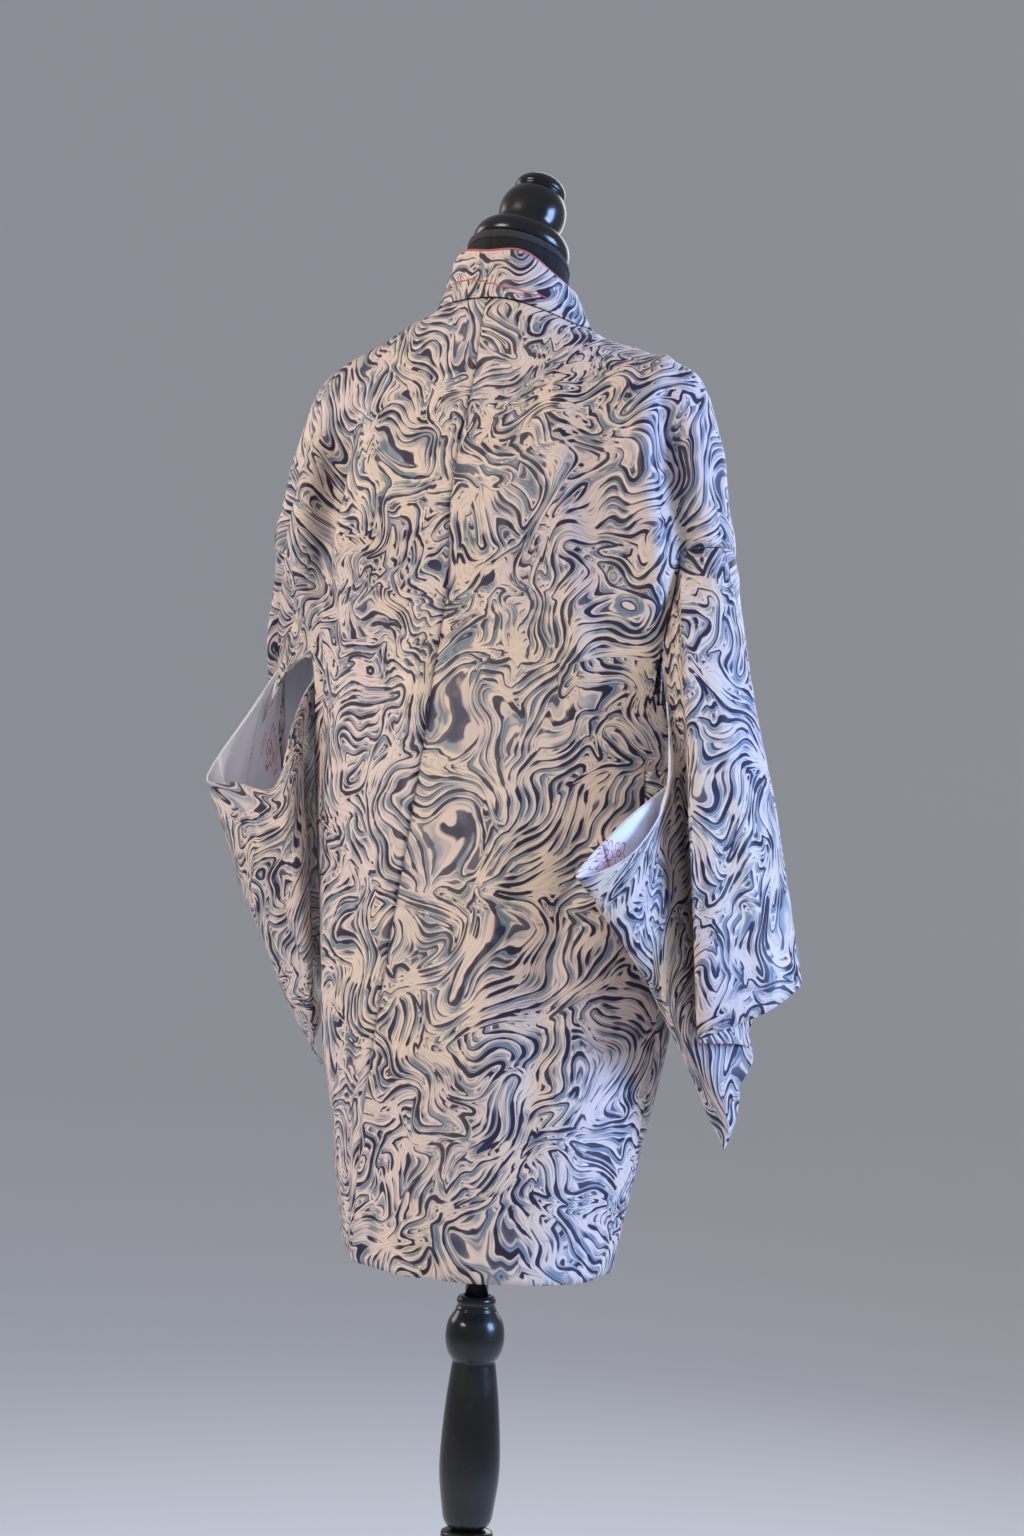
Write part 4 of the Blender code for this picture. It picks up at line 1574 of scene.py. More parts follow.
@dataclass
class Stand:
    """The pole, its turned post and base column, three legs and their feet."""

    finishes: Finishes
    post: tuple[Pair, ...] = POST_PROFILE
    column: tuple[Pair, ...] = BASE_PROFILE
    pole_radius: float = 9.5
    pole_foot: float = 575.0
    pole_top: float = 799.7
    leg_count: int = 3
    leg_turn: float = 90.0
    leg_steps: int = 14
    leg_sides: int = 32
    foot_radius: float = 17.0
    foot_height: float = 12.0
    foot_bevel: float = 2.5
    foot_sides: int = 64

    def leg(self, index: int) -> None:
        """Sweep one curved leg from the base's column out to its foot.

        Args:
            index: The leg's number from nought.
        """
        turn = math.radians(self.leg_turn + 360 * index / self.leg_count)
        columns = list(zip(*LEG_ROUTE))
        count = (len(LEG_ROUTE) - 1) * self.leg_steps
        path: list[Spot] = []
        radii: list[float] = []
        for step in range(count + 1):
            place = step / self.leg_steps
            out, height, radius = (curve_through(column, place) for column in columns)
            path.append((out * math.cos(turn), out * math.sin(turn), height))
            radii.append(radius)
        name = f"leg_{index + 1}_curved"
        piece = swept_tube(name, path, radii, self.leg_sides, self.finishes.lacquer)
        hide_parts(f"leg_{index + 1}")

    def foot(self, index: int) -> None:
        """Turn the round foot under one leg.

        Args:
            index: The leg's number from nought.
        """
        turn = math.radians(self.leg_turn + 360 * index / self.leg_count)
        reach = LEG_ROUTE[-1][0]
        radius, height, edge = self.foot_radius, self.foot_height, self.foot_bevel
        profile = (
            (0.0, 0.0), (radius - edge, 0.0), (radius, edge),
            (radius, height - edge), (radius - edge, height), (0.0, height),
        )
        piece = turned_piece(
            f"foot_{index + 1}_turned",
            softened(profile),
            self.finishes.rubber,
            (reach * math.cos(turn), reach * math.sin(turn), 0.0),
            steps=self.foot_sides,
        )
        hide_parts(f"foot_{index + 1}")

    def build(self) -> None:
        """Make every piece of the stand."""
        pole = ((0.0, self.pole_foot), (self.pole_radius, self.pole_foot))
        pole += ((self.pole_radius, self.pole_top), (0.0, self.pole_top))
        for name, profile in (
            ("pole", pole),
            ("post", tuple(softened(self.post))),
            ("base_column", tuple(softened(self.column))),
        ):
            piece = turned_piece(f"{name}_turned", profile, self.finishes.lacquer)
            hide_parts(name)
        for index in range(self.leg_count):
            self.leg(index)
            self.foot(index)


class Nodes:
    """Adds and joins the nodes of one shader tree."""

    def __init__(self, tree: bpy.types.NodeTree) -> None:
        """Work on this tree."""
        self.tree = tree

    def add(
        self, kind: str, inputs: dict[str | int, object] | None = None, **settings: object
    ) -> Node:
        """Add a node.

        Args:
            kind: The node's type.
            inputs: A plain value or a socket for each of its inputs, by name or number.
            **settings: Its properties.

        Returns:
            The new node.
        """
        node = self.tree.nodes.new(kind)
        for name, value in settings.items():
            setattr(node, name, value)
        for name, value in (inputs or {}).items():
            self.feed(node.inputs[name], value)
        return node

    def feed(self, socket: Socket, value: object) -> None:
        """Give an input a value.

        Args:
            socket: The input.
            value: A socket to link into it, or a plain value to set.
        """
        if isinstance(value, bpy.types.NodeSocket):
            self.tree.links.new(value, socket)
        else:
            socket.default_value = value

    def math(self, operation: str, first: object, second: object = 0.0, **more: bool) -> Socket:
        """Join two numbers with a Math node and return the result."""
        node = self.add("ShaderNodeMath", {0: first, 1: second}, operation=operation, **more)
        return node.outputs[0]

    def plus(self, first: object, second: object) -> Socket:
        """Return a sum."""
        return self.math("ADD", first, second)

    def minus(self, first: object, second: object) -> Socket:
        """Return a difference."""
        return self.math("SUBTRACT", first, second)

    def times(self, first: object, second: object, **more: bool) -> Socket:
        """Return a product."""
        return self.math("MULTIPLY", first, second, **more)

    def larger(self, first: object, second: object) -> Socket:
        """Return the larger of two numbers."""
        return self.math("MAXIMUM", first, second)

    def size(self, value: object) -> Socket:
        """Return a number without its sign."""
        return self.math("ABSOLUTE", value)

    def vector(self, operation: str, first: object, second: object) -> Socket:
        """Join two vectors with a Vector Math node and return the resulting vector."""
        node = self.add("ShaderNodeVectorMath", {0: first, 1: second}, operation=operation)
        return node.outputs["Vector"]

    def scaled(self, vector: object, scale: object) -> Socket:
        """Return a vector times a number."""
        node = self.add("ShaderNodeVectorMath", {0: vector, "Scale": scale}, operation="SCALE")
        return node.outputs["Vector"]

    def split(self, vector: object) -> Sequence[Socket]:
        """Return the x, y and z of a vector."""
        return self.add("ShaderNodeSeparateXYZ", {0: vector}).outputs

    def noise(self, vector: object, scale: float, detail: float = 0.0) -> Node:
        """Add a noise field that reads the given coordinates."""
        inputs = {"Vector": vector, "Scale": scale, "Detail": detail}
        return self.add("ShaderNodeTexNoise", inputs)

    def flat_noise(self, vector: object, size: float, detail: float = 0.0) -> Node:
        """Add a noise field on a flat cut, with lumps of this size."""
        inputs = {"Vector": vector, "Scale": 1.0 / size, "Detail": detail}
        return self.add("ShaderNodeTexNoise", inputs, noise_dimensions="2D")

    def step(self, value: object, low: float, high: float) -> Socket:
        """Return a smooth rise from 0 at low to 1 at high."""
        inputs = {"Value": value, "From Min": low, "From Max": high}
        return self.add("ShaderNodeMapRange", inputs, interpolation_type="SMOOTHSTEP").outputs[0]

    def mix(self, factor: object, first: object, second: object) -> Socket:
        """Blend two colours."""
        inputs = {"Factor": factor, 6: first, 7: second}
        return self.add("ShaderNodeMix", inputs, data_type="RGBA").outputs[2]

    def bump(
        self, height: object, strength: float, distance: float, **beneath: Socket
    ) -> Socket:
        """Turn a height into a normal, on top of the Normal beneath it if one is given."""
        inputs = {"Strength": strength, "Distance": distance, "Height": height, **beneath}
        return self.add("ShaderNodeBump", inputs).outputs["Normal"]


class Group:
    """A shader node group with named inputs and outputs, built once."""

    def __init__(
        self, name: str, inputs: dict[str, float | Spot], outputs: Sequence[str]
    ) -> None:
        """Make the group's sockets.

        Args:
            name: The group's name.
            inputs: The plain value of each input, a number or a vector.
            outputs: The name of each output. They are numbers.
        """
        self.tree = bpy.data.node_groups.new(name, "ShaderNodeTree")
        new_socket = self.tree.interface.new_socket
        for title, value in inputs.items():
            kind = "NodeSocketVector" if isinstance(value, tuple) else "NodeSocketFloat"
            new_socket(title, in_out="INPUT", socket_type=kind).default_value = value
        for title in outputs:
            new_socket(title, in_out="OUTPUT", socket_type="NodeSocketFloat")
        self.nodes = Nodes(self.tree)
        self.start = self.nodes.add("NodeGroupInput")
        self.end = self.nodes.add("NodeGroupOutput")

    def give(self, **values: Socket) -> None:
        """Put a value out under each name."""
        for title, value in values.items():
            self.nodes.feed(self.end.inputs[title], value)

    def placed(self, nodes: Nodes, **values: object) -> Node:
        """Place the group in a material with its own values."""
        return nodes.add("ShaderNodeGroup", values, node_tree=self.tree)


def weave_group() -> Group:
    """Build the plain weave: crossing threads with a little unevenness."""
    group = Group("weave", {"Place": ORIGIN, "Thread": 0.5, "Slub": 0.3}, ("Height", "Shade"))
    n = group.nodes
    place, thread, slub = group.start.outputs[:3]
    waver = n.noise(place, 260.0)
    moved = n.vector("ADD", place, n.scaled(waver.outputs["Color"], 0.0005))
    per = n.math("DIVIDE", 2 * math.pi * 1000.0, thread)
    warp, weft = (n.math("SINE", n.times(part, per)) for part in n.split(moved)[:2])
    over = n.times(n.times(warp, weft), 0.5)
    stretched = n.vector("MULTIPLY", place, (60.0, 900.0, 60.0))
    streak = n.noise(stretched, 1.0, 1.0)
    uneven = n.times(n.minus(streak.outputs["Fac"], 0.5), slub)
    height = n.plus(n.plus(over, 0.5), uneven)
    group.give(Height=height, Shade=n.plus(uneven, 0.5))
    return group


def handling_group() -> Group:
    """Build a soft unevenness of handling, as a mask and a small height."""
    group = Group("handling", {"Place": ORIGIN, "Size": 30.0}, ("Mask", "Height"))
    n = group.nodes
    place, size = group.start.outputs[:2]
    broad = n.noise(n.scaled(place, size), 1.0, 3.0)
    fine = n.noise(n.scaled(place, n.times(size, 9.0)), 1.0, 2.0)
    mask = n.step(broad.outputs["Fac"], 0.35, 0.7)
    both = n.plus(broad.outputs["Fac"], fine.outputs["Fac"])
    group.give(Mask=mask, Height=n.times(both, 0.5))
    return group


def marbled_ink_group() -> Group:
    """Build the marbled ink: combed and curled bands of ink on cloth laid on water."""
    group = Group(
        "marbled ink",
        {"Place": ORIGIN, "Swirl": 1.0, "Band": 7.5},
        ("Ink", "Wash", "Hair", "Pool", "Patch"),
    )
    n = group.nodes
    place, swirl, band = group.start.outputs[:3]
    flat = n.scaled(place, 1.0 / MM)
    comb_x, comb_y, comb_pitch = 0.8, 0.6, 11.0
    edge, fine_edge, hair_width = 0.45, 0.35, 0.22

    def drift(source: Socket, size: float, reach: float) -> Socket:
        """Carry the ink along by a smooth field.

        Args:
            source: The place on the flat cut, in millimetres.
            size: The field's lumps in millimetres.
            reach: How far it carries the ink at most, from end to end.

        Returns:
            The place that the ink came from.
        """
        current = n.flat_noise(source, size)
        centred = n.vector("SUBTRACT", current.outputs["Color"], MIDDLE)
        return n.vector("ADD", source, n.scaled(n.scaled(centred, reach), swirl))

    def whirl(source: Socket, size: float, most: float, shift: float) -> Socket:
        """Turn the ink round scattered centres, each by its own angle.

        Args:
            source: The place on the flat cut, in millimetres.
            size: How far apart the centres are.
            most: The largest angle, in radians.
            shift: Moves the centres, so that no two calls share them.

        Returns:
            The place that the ink came from.
        """
        offset = (shift, shift * 0.7, 0.0)
        cells = n.vector("ADD", n.scaled(source, 1.0 / size), offset)
        read = {"Vector": cells, "Scale": 1.0}
        near, far = (
            n.add("ShaderNodeTexVoronoi", read, voronoi_dimensions="2D", feature=feature).outputs
            for feature in ("F1", "F2")
        )
        inside = n.step(n.minus(far["Distance"], near["Distance"]), 0.0, 0.85)
        drawn = n.add("ShaderNodeSeparateColor", {0: near["Color"]}).outputs[0]
        way = n.minus(n.times(drawn, 2.0), 1.0)
        angle = n.times(n.times(way, most), n.times(inside, swirl))
        inputs = {"Vector": cells, "Center": near["Position"], "Angle": angle}
        turned = n.add("ShaderNodeVectorRotate", inputs, rotation_type="Z_AXIS").outputs[0]
        return n.scaled(n.vector("SUBTRACT", turned, offset), size)

    def phase(source: Socket) -> Socket:
        """Count the bands of ink up to a point.

        Args:
            source: The place on the flat cut, in millimetres.

        Returns:
            The number of the band that covers it, with its fraction.
        """
        carried = source
        for size, reach in INK_DRIFTS:
            carried = drift(carried, size, reach)
        for size, most, shift in INK_WHIRLS:
            carried = whirl(carried, size, most, shift)
        parts = n.split(carried)
        across = n.plus(n.times(parts[0], comb_x), n.times(parts[1], comb_y))
        pooled = n.flat_noise(carried, 46.0).outputs["Fac"]
        return n.plus(n.math("DIVIDE", across, comb_pitch), n.times(pooled, 2.4))

    # The slope of that count tells how close the bands lie. Where they spread, their number is
    # doubled, and doubled again, so that the lines stay about one band apart.
    probe = 0.3
    here = phase(flat)
    slopes = [
        n.minus(phase(n.vector("ADD", flat, offset)), here)
        for offset in ((probe, 0.0, 0.0), (0.0, probe, 0.0))
    ]
    squares = n.plus(*(n.times(slope, slope) for slope in slopes))
    least = n.math("DIVIDE", 0.30, band)
    slope = n.larger(n.math("DIVIDE", n.math("SQRT", squares), probe), least)
    level = n.math("LOGARITHM", n.math("DIVIDE", 1.0, n.times(slope, band)), 2.0)
    octave = n.math("FLOOR", level)
    grown = n.step(n.minus(level, octave), 0.15, 0.90)
    times = n.math("POWER", 2.0, octave)
    turn = n.math("FRACT", n.times(here, times))
    steep = n.times(slope, times)
    # How full of ink a place is, and how worn its finest lines are.
    density = n.flat_noise(flat, 20.0, 1.0).outputs["Fac"]
    apart = n.vector("ADD", flat, (310.0, 170.0, 0.0))
    second = n.flat_noise(apart, 26.0, 1.0).outputs["Fac"]

    def beside(centre: float) -> Socket:
        """Return the signed distance in millimetres from a line of the cycle."""
        off = n.math("FRACT", n.plus(turn, 1.5 - centre))
        return n.math("DIVIDE", n.minus(off, 0.5), steep)

    def line(centre: float, width: object, soft: float) -> Socket:
        """Return 1 on a line of this half width in millimetres, and 0 away from it."""
        over = n.minus(n.size(beside(centre)), width)
        return n.step(over, soft, -soft * 0.4)

    def washed(centre: float, reach: float) -> Socket:
        """Return the thinned ink that spreads from one side of a line."""
        side = beside(centre)
        return n.times(n.step(side, -0.6, 0.3), n.step(side, reach, reach * 0.55))

    def trail(gap: float) -> Socket:
        """Return a hair line that runs beside the first line, this far off in millimetres."""
        off = n.size(n.minus(beside(0.0), n.plus(wide, gap)))
        return n.step(off, 0.5, 0.12)

    # The ink lines with their taper, the washes beside them, the hair lines and the dark cores.
    thick = n.plus(n.times(n.step(density, 0.38, 0.64), 1.1), 0.56)
    taper = n.step(second, 0.24, 0.36)
    wide = n.times(thick, taper)
    half = n.times(wide, grown)
    between = n.times(line(0.5, half, edge), grown)
    ink = n.larger(line(0.0, wide, edge), between)
    paler = n.plus(n.times(n.step(density, 0.26, 0.44), 0.15), 0.85)
    ink = n.times(n.times(ink, paler), taper, use_clamp=True)
    wash = n.larger(washed(0.0, 4.6), n.times(washed(0.5, 4.0), grown))
    patchy = n.plus(n.times(n.step(second, 0.36, 0.62), 0.85), 0.15)
    wash = n.times(wash, patchy, use_clamp=True)
    fading = n.times(grown, n.minus(1.0, grown))
    hair = n.larger(*(line(centre, hair_width, fine_edge) for centre in (0.25, 0.75)))
    hair = n.times(hair, n.times(fading, 2.6), use_clamp=True)
    trailing = n.larger(trail(1.3), n.times(trail(2.6), 0.7))
    hair = n.larger(hair, n.times(trailing, n.step(second, 0.34, 0.50)))
    core = n.times(n.minus(wide, 0.55), 0.9)
    pool = n.times(line(0.0, core, fine_edge), n.step(density, 0.46, 0.58))
    patch = n.flat_noise(flat, 140.0, 1.0).outputs["Fac"]
    group.give(Ink=ink, Wash=wash, Hair=hair, Pool=pool, Patch=patch)
    return group


def line_flower_group() -> Group:
    """Build a drawn flower: an outline of petals round a small ring, as a mask."""
    group = Group(
        "line flower",
        {"Place": ORIGIN, "Centre": ORIGIN, "Radius": 0.02, "Petals": 5.0, "Turn": 0.0},
        ("Mask",),
    )
    n = group.nodes
    place, centre, radius, petals, turned = group.start.outputs[:5]
    away = n.vector("SUBTRACT", place, centre)
    wobble = n.vector("SUBTRACT", n.noise(place, 90.0).outputs["Color"], MIDDLE)
    x, y, _ = n.split(n.vector("ADD", away, n.scaled(wobble, 0.006)))
    flat = n.add("ShaderNodeCombineXYZ", {0: x, 1: y}).outputs[0]
    length = n.add("ShaderNodeVectorMath", {0: flat}, operation="LENGTH").outputs["Value"]
    share = n.math("DIVIDE", length, radius)
    angle = n.plus(n.math("ARCTAN2", y, x), turned)
    half = n.times(angle, n.times(petals, 0.5))
    lobes = n.size(n.math("COSINE", half))
    edge = n.plus(n.times(n.math("POWER", lobes, 0.6), 0.55), 0.42)
    outer = n.size(n.minus(share, edge))
    inner = n.size(n.minus(share, 0.24))
    vein = n.size(n.math("SINE", half))
    vein = n.times(n.step(vein, 0.99, 1.0), n.step(share, 0.62, 0.58))
    mask = n.larger(n.step(outer, 0.10, 0.05), n.step(inner, 0.09, 0.04))
    ribs = n.size(n.math("SINE", n.times(angle, petals)))
    within = n.times(n.step(share, 0.28, 0.32), n.step(share, 0.70, 0.66))
    ray = n.times(n.step(ribs, 0.24, 0.10), within)
    group.give(Mask=n.larger(n.larger(mask, ray), vein))
    return group


def tone(red: float, green: float, blue: float) -> Colour:
    """Return an opaque colour."""
    return (red, green, blue, 1.0)


def new_principled(name: str, **values: object) -> tuple[Material, Nodes, Node]:
    """Make a material with one Principled shader.

    Args:
        name: The material's name.
        **values: Plain values for the shader's sockets, with _ for a space.

    Returns:
        The material, its nodes and its shader.
    """
    material = bpy.data.materials.new(name)
    material.use_nodes = True
    nodes = Nodes(material.node_tree)
    shader = material.node_tree.nodes["Principled BSDF"]
    for title, value in values.items():
        shader.inputs[title.replace("_", " ")].default_value = value
    return material, nodes, shader


@dataclass(frozen=True)
class PrintedSilk:
    """Silk dyed with marbled ink."""

    cream: Colour = tone(0.86, 0.68, 0.54)
    blush: Colour = tone(0.83, 0.67, 0.61)
    wash: Colour = tone(0.17, 0.25, 0.33)
    ink: Colour = tone(0.008, 0.011, 0.064)
    pool: Colour = tone(0.008, 0.002, 0.022)
    hair: Colour = tone(0.09, 0.12, 0.18)
    roughness: float = 0.5
    sheen: float = 0.05
    swirl: float = 1.0
    band: float = 7.2
    thread: float = 0.55

    def make(self, marble: Group, weave: Group, handling: Group) -> Material:
        """Build the material from its effects.

        Args:
            marble: The marbled ink.
            weave: The plain weave.
            handling: The unevenness of handling.

        Returns:
            The material.
        """
        material, n, shader = new_principled(
            "printed silk",
            Sheen_Weight=self.sheen,
            Sheen_Roughness=0.35,
            Sheen_Tint=tone(0.65, 0.76, 1.0),
            Specular_IOR_Level=0.3,
        )
        cut = n.add("ShaderNodeUVMap", uv_map="flat_cut").outputs[0]
        ink = marble.placed(n, Place=cut, Swirl=self.swirl, Band=self.band)
        threads = weave.placed(n, Place=cut, Thread=self.thread, Slub=0.5)
        worn = handling.placed(n, Place=cut, Size=26.0)
        ground = n.mix(n.step(ink.outputs["Patch"], 0.38, 0.62), self.cream, self.blush)
        colour = n.mix(n.times(ink.outputs["Wash"], 0.9), ground, self.wash)
        colour = n.mix(n.times(ink.outputs["Hair"], 0.75), colour, self.hair)
        colour = n.mix(ink.outputs["Ink"], colour, self.ink)
        colour = n.mix(ink.outputs["Pool"], colour, self.pool)
        shade = n.times(threads.outputs["Shade"], 0.12)
        colour = n.mix(shade, colour, tone(0.35, 0.33, 0.34))
        n.feed(shader.inputs["Base Color"], colour)
        rough = n.plus(n.times(worn.outputs["Mask"], 0.10), self.roughness - 0.05)
        rough = n.minus(rough, n.times(ink.outputs["Ink"], 0.06))
        n.feed(shader.inputs["Roughness"], rough)
        soft = n.bump(worn.outputs["Height"], 0.35, 0.0015)
        normal = n.bump(threads.outputs["Height"], 0.22, 0.0001, Normal=soft)
        n.feed(shader.inputs["Normal"], normal)
        return material


@dataclass(frozen=True)
class Flower:
    """One drawn flower of the lining: its place on the flat cut and its size in metres."""

    along: float
    down: float
    radius: float
    petals: float
    turn: float


@dataclass(frozen=True)
class LiningSilk:
    """Plain pale silk, with flowers drawn on it in red line where it is on show."""

    name: str = "lining silk"
    light: Colour = tone(0.89, 0.90, 0.98)
    shade: Colour = tone(0.82, 0.82, 0.91)
    line: Colour = tone(0.72, 0.10, 0.12)
    flowers: tuple[Flower, ...] = ()
    roughness: float = 0.42
    thread: float = 0.45

    def make(self, flower: Group, weave: Group, handling: Group) -> Material:
        """Build the material from its effects.

        Args:
            flower: The drawn flower.
            weave: The plain weave.
            handling: The unevenness of handling.

        Returns:
            The material.
        """
        material, n, shader = new_principled(
            self.name,
            Sheen_Weight=0.2,
            Sheen_Roughness=0.4,
            Specular_IOR_Level=0.45,
        )
        cut = n.add("ShaderNodeUVMap", uv_map="flat_cut").outputs[0]
        threads = weave.placed(n, Place=cut, Thread=self.thread, Slub=0.35)
        worn = handling.placed(n, Place=cut, Size=18.0)
        colour = n.mix(worn.outputs["Mask"], self.light, self.shade)
        drawn: Socket | None = None
        for spot in self.flowers:
            centre = (spot.along, spot.down, 0.0)
            values = {"Radius": spot.radius, "Petals": spot.petals, "Turn": spot.turn}
            mask = flower.placed(n, Place=cut, Centre=centre, **values).outputs["Mask"]
            drawn = mask if drawn is None else n.larger(drawn, mask)
        if drawn is not None:
            colour = n.mix(n.times(drawn, 0.9), colour, self.line)
        n.feed(shader.inputs["Base Color"], colour)
        rough = n.plus(n.times(worn.outputs["Mask"], 0.08), self.roughness)
        n.feed(shader.inputs["Roughness"], rough)
        soft = n.bump(worn.outputs["Height"], 0.3, 0.0012)
        normal = n.bump(threads.outputs["Height"], 0.18, 0.0001, Normal=soft)
        n.feed(shader.inputs["Normal"], normal)
        return material


@dataclass(frozen=True)
class ClothFinish:
    """A plain cloth or thread of one colour, read in the object's own coordinates. Its raised
    threads carry a painted highlight in the second colour, which also colours its random wear.
    """

    name: str
    colour: Colour
    # The second colour is both the painted highlight on raised threads and the colour of random
    # wear.
    second: Colour
    roughness: float = 0.5
    thread: float = 0.4
    height: float = 0.0001
    sheen: float = 0.1

    def make(self, weave: Group, handling: Group) -> Material:
        """Build the material from its effects.

        Args:
            weave: The plain weave.
            handling: The unevenness of handling.

        Returns:
            The material.
        """
        material, n, shader = new_principled(
            self.name,
            Sheen_Weight=self.sheen,
            Sheen_Roughness=0.5,
            Specular_IOR_Level=0.35,
        )
        place = n.add("ShaderNodeTexCoord").outputs["Object"]
        x, y, z = n.split(place)
        around = n.add("ShaderNodeCombineXYZ", {0: n.plus(x, y), 1: z}).outputs[0]
        threads = weave.placed(n, Place=around, Thread=self.thread, Slub=0.4)
        worn = handling.placed(n, Place=place, Size=22.0)
        # Painted highlight: the raised threads of the weave are painted lighter, towards the
        # second colour.
        raised_thread_highlight = n.step(threads.outputs["Height"], 0.15, 0.85)
        colour = n.mix(n.times(raised_thread_highlight, 0.7), self.colour, self.second)
        colour = n.mix(n.times(worn.outputs["Mask"], 0.25), colour, self.second)
        n.feed(shader.inputs["Base Color"], colour)
        rough = n.plus(n.times(worn.outputs["Mask"], 0.08), self.roughness)
        n.feed(shader.inputs["Roughness"], rough)
        n.feed(shader.inputs["Normal"], n.bump(threads.outputs["Height"], 0.6, self.height))
        return material


@dataclass(frozen=True)
class Lacquer:
    """Black satin lacquer over turned wood."""

    name: str = "black lacquer"
    deep: Colour = tone(0.006, 0.006, 0.007)
    worn: Colour = tone(0.020, 0.018, 0.017)
    roughness: float = 0.20
    coat: float = 0.3

    def make(self, handling: Group) -> Material:
        """Build the material from its effects.

        Args:
            handling: The unevenness of handling.

        Returns:
            The material.
        """
        material, n, shader = new_principled(
            self.name,
            Coat_Weight=self.coat,
            Coat_Roughness=0.16,
            Specular_IOR_Level=0.38,
        )
        place = n.add("ShaderNodeTexCoord").outputs["Object"]
        broad = handling.placed(n, Place=place, Size=30.0)
        grain = n.noise(n.vector("MULTIPLY", place, (240.0, 240.0, 24.0)), 1.0, 2.0)
        edge = n.add("ShaderNodeNewGeometry").outputs["Pointiness"]
        mask = broad.outputs["Mask"]
        rubbed = n.times(n.step(edge, 0.53, 0.60), n.times(mask, 0.6))
        colour = n.mix(n.times(mask, 0.4), self.deep, self.worn)
        colour = n.mix(rubbed, colour, tone(0.05, 0.042, 0.036))
        n.feed(shader.inputs["Base Color"], colour)
        rough = n.plus(n.times(mask, 0.12), self.roughness)
        n.feed(shader.inputs["Roughness"], rough)
        uneven = n.times(broad.outputs["Height"], 0.6)
        height = n.plus(grain.outputs["Fac"], uneven)
        n.feed(shader.inputs["Normal"], n.bump(height, 0.12, 0.0003))
        return material


@dataclass(frozen=True)
class FloorFinish:
    """The plain pale floor."""

    colour: Colour = tone(0.92, 0.92, 0.92)
    walked: Colour = tone(0.88, 0.88, 0.88)

    def make(self, handling: Group) -> Material:
        """Build the material from its effects.

        Args:
            handling: The unevenness of handling.

        Returns:
            The material.
        """
        material, n, shader = new_principled("pale floor", Specular_IOR_Level=0.2)
        place = n.add("ShaderNodeTexCoord").outputs["Object"]
        worn = handling.placed(n, Place=place, Size=2.0)
        colour = n.mix(n.times(worn.outputs["Mask"], 0.08), self.colour, self.walked)
        n.feed(shader.inputs["Base Color"], colour)
        shader.inputs["Roughness"].default_value = 0.8
        return material


FLOWERS = (
    Flower(1.072, 3.322, 0.010, 5.0, 0.4),
    Flower(1.084, 3.309, 0.012, 6.0, 1.1),
    Flower(1.100, 3.316, 0.013, 5.0, 2.0),
    Flower(1.113, 3.307, 0.010, 5.0, 0.2),
    Flower(1.127, 3.317, 0.009, 5.0, 1.5),
    Flower(4.350, 2.550, 0.018, 5.0, 0.9),
    Flower(4.366, 2.516, 0.011, 6.0, 0.1),
    Flower(4.337, 2.577, 0.012, 5.0, 2.2),
    Flower(4.405, 2.465, 0.010, 5.0, 1.3),
    Flower(4.320, 2.538, 0.008, 5.0, 0.5),
)


def make_finishes(handling: Group) -> Finishes:
    """Build every cloth, thread and lacquer from effects that are built once.

    Args:
        handling: The shared handling effect.

    Returns:
        The finishes by name.
    """
    weave = weave_group()
    marble = marbled_ink_group()
    flower = line_flower_group()
    flowered = LiningSilk("flowered lining silk", flowers=FLOWERS)
    # The second colour of each is painted onto its raised threads as a painted highlight, and
    # onto its random worn patches.
    thread = ClothFinish("red thread", tone(0.62, 0.09, 0.10), tone(0.74, 0.24, 0.24))
    black, highlight_and_worn_grey = tone(0.006, 0.006, 0.007), tone(0.018, 0.018, 0.02)
    jersey = ClothFinish("black jersey", black, highlight_and_worn_grey, 0.85, 0.8, 0.0002, 0.15)
    black, highlight_and_worn_grey = tone(0.010, 0.010, 0.012), tone(0.060, 0.058, 0.066)
    braid = ClothFinish("neck braid", black, highlight_and_worn_grey, 0.7, 2.2, 0.0006, 0.2)
    return Finishes(
        print_silk=PrintedSilk().make(marble, weave, handling),
        lining_silk=LiningSilk().make(flower, weave, handling),
        flower_silk=flowered.make(flower, weave, handling),
        red_thread=thread.make(weave, handling),
        jersey=jersey.make(weave, handling),
        braid=braid.make(weave, handling),
        lacquer=Lacquer().make(handling),
        rubber=Lacquer("foot lacquer", roughness=0.35, coat=0.15).make(handling),
    )


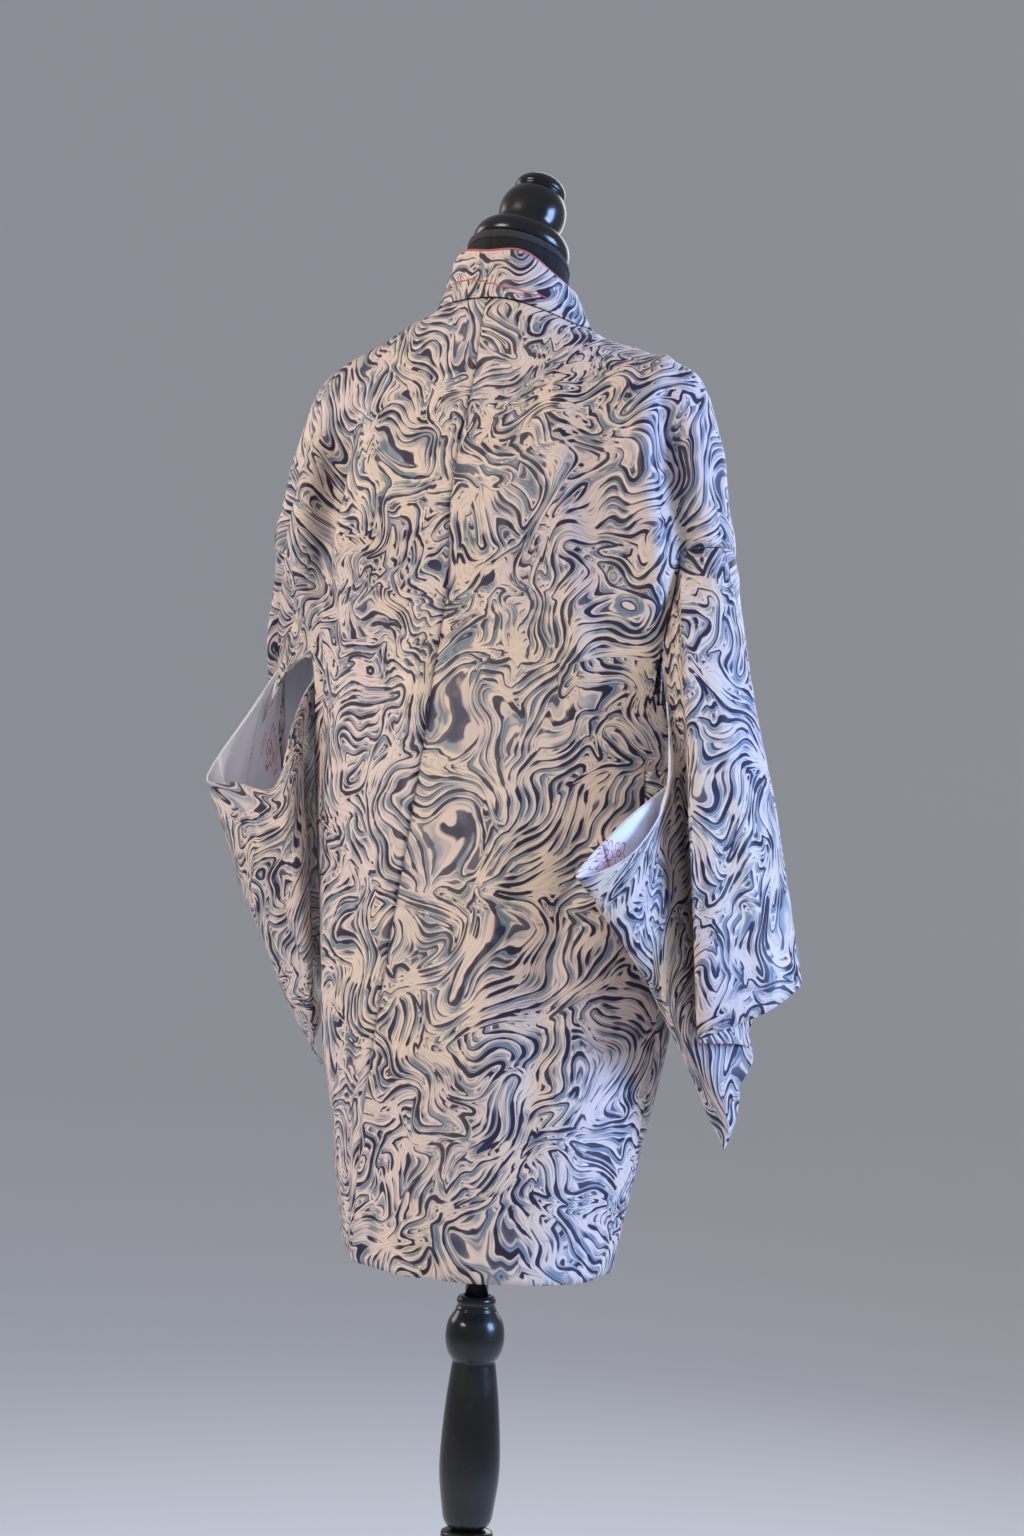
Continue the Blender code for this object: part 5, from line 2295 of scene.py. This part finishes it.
@dataclass
class Studio:
    """The floor, the soft lights and the camera."""

    eye_turn: float = 215.0
    eye_distance: float = 2.6
    eye_height: float = 1.02
    eye_roll: float = 0.0419
    lens: float = 74.3
    shift_x: float = 13.3 / 1536
    sensor: float = 36.0
    farthest: float = 60.0
    cove: tuple[Pair, ...] = (
        (8.0, 0.0), (8.6, 0.05), (9.2, 0.25), (9.8, 0.70), (10.3, 1.40), (10.6, 2.40),
        (10.8, 3.80), (10.9, 5.60),
    )
    cove_sides: int = 72
    lamp_spread: float = 105.0
    aim: Spot = (0.0, 0.0, 1.0)
    room_colour: Spot = (0.86, 0.89, 0.99)
    room_light: float = 0.34

    def camera(self) -> None:
        """Set the camera level with the waist, behind the wearer's right shoulder."""
        turn = math.radians(self.eye_turn)
        back = Vector((math.sin(turn), -math.cos(turn), 0.0))
        lens = bpy.data.cameras.new("camera")
        lens.sensor_fit = "VERTICAL"
        lens.sensor_height = self.sensor
        lens.lens = self.lens
        lens.shift_x = self.shift_x
        lens.clip_end = self.farthest
        eye = bpy.data.objects.new("camera", lens)
        axis = Vector((PLACE[0] * MM, PLACE[1] * MM, 0.0))
        eye.location = axis + back * self.eye_distance + Vector((0.0, 0.0, self.eye_height))
        look = (-back).to_track_quat("-Z", "Y")
        eye.rotation_euler = (look @ Quaternion((0.0, 0.0, 1.0), self.eye_roll)).to_euler()
        bpy.context.scene.collection.objects.link(eye)
        bpy.context.scene.camera = eye

    def floor(self, handling: Group) -> None:
        """Lay the plain floor, which sweeps up far off into a plain backdrop.

        Args:
            handling: The shared handling effect.
        """
        sides = self.cove_sides
        points = [(0.0, 0.0, 0.0)]
        for reach, height in self.cove:
            for step in range(sides):
                turn = 2 * math.pi * step / sides
                points.append((reach * math.cos(turn), reach * math.sin(turn), height))
        faces = [(0, 1 + step, 1 + (step + 1) % sides) for step in range(sides)]
        for ring in range(len(self.cove) - 1):
            low, high = 1 + ring * sides, 1 + (ring + 1) * sides
            for step in range(sides):
                following = (step + 1) % sides
                faces.append((low + step, high + step, high + following, low + following))
        mesh = new_mesh("floor", points, faces)
        mesh.shade_smooth()
        mesh.materials.append(FloorFinish().make(handling))
        obj = bpy.data.objects.new("floor", mesh)
        bpy.context.scene.collection.objects.link(obj)

    def light(self, name: str, place: Spot, size: float, power: float, colour: Spot) -> None:
        """Hang one soft square light.

        Args:
            name: The light's name.
            place: Where it hangs, in metres.
            size: The side of the square.
            power: Its power in watts.
            colour: Its colour.
        """
        lamp = bpy.data.lights.new(name, "AREA")
        lamp.shape = "SQUARE"
        lamp.size = size
        lamp.energy = power
        lamp.color = colour
        lamp.spread = math.radians(self.lamp_spread)
        obj = bpy.data.objects.new(name, lamp)
        obj.location = place
        facing = Vector(self.aim) - Vector(place)
        obj.rotation_euler = facing.to_track_quat("-Z", "Y").to_euler()
        bpy.context.scene.collection.objects.link(obj)

    def lights(self) -> None:
        """Hang the soft studio lights and fill the room with pale light."""
        self.light("warm key", (0.9, 2.4, 2.2), 1.0, 14.5, (1.0, 0.87, 0.74))
        self.light("cool side", (-2.5, -0.6, 1.6), 1.1, 34.0, (0.34, 0.54, 1.0))
        self.light("front fill", (0.8, -2.8, 2.0), 2.0, 9.0, (0.95, 0.97, 1.0))
        self.light("left rim", (2.8, 0.3, 1.9), 1.2, 5.0, (1.0, 0.92, 0.84))
        world = bpy.data.worlds.new("room")
        world.use_nodes = True
        room = world.node_tree.nodes["Background"]
        room.inputs["Color"].default_value = tone(*self.room_colour)
        room.inputs["Strength"].default_value = self.room_light
        bpy.context.scene.world = world

    def build(self, handling: Group) -> None:
        """Set up the whole studio.

        Args:
            handling: The shared handling effect.
        """
        self.floor(handling)
        self.lights()
        self.camera()
        bpy.context.scene.view_settings.view_transform = "Standard"


def main() -> None:
    """Build the object, dress it and set up the studio."""
    logging.basicConfig(level=logging.INFO, format="%(name)s: %(message)s")
    handling = handling_group()
    finishes = make_finishes(handling)
    garment = Garment()
    for side, ribs, shown, lining in (
        (Side.RIGHT, RIGHT_RIBS, (20 / 3, 28 / 3), (0.16, 0.16)),
        (Side.LEFT, LEFT_RIBS, (14 / 3, 17 / 3), (0.05, 0.13)),
    ):
        BodyPanel(side, garment, finishes).build()
        Gusset(side, garment, finishes).build()
        Sleeve(side, garment, finishes, ribs, shown, lining).build()
    Collar(garment, finishes).build()
    DressForm(finishes).build()
    Stand(finishes).build()
    Studio().build(handling)


if __name__ == "__main__":
    main()
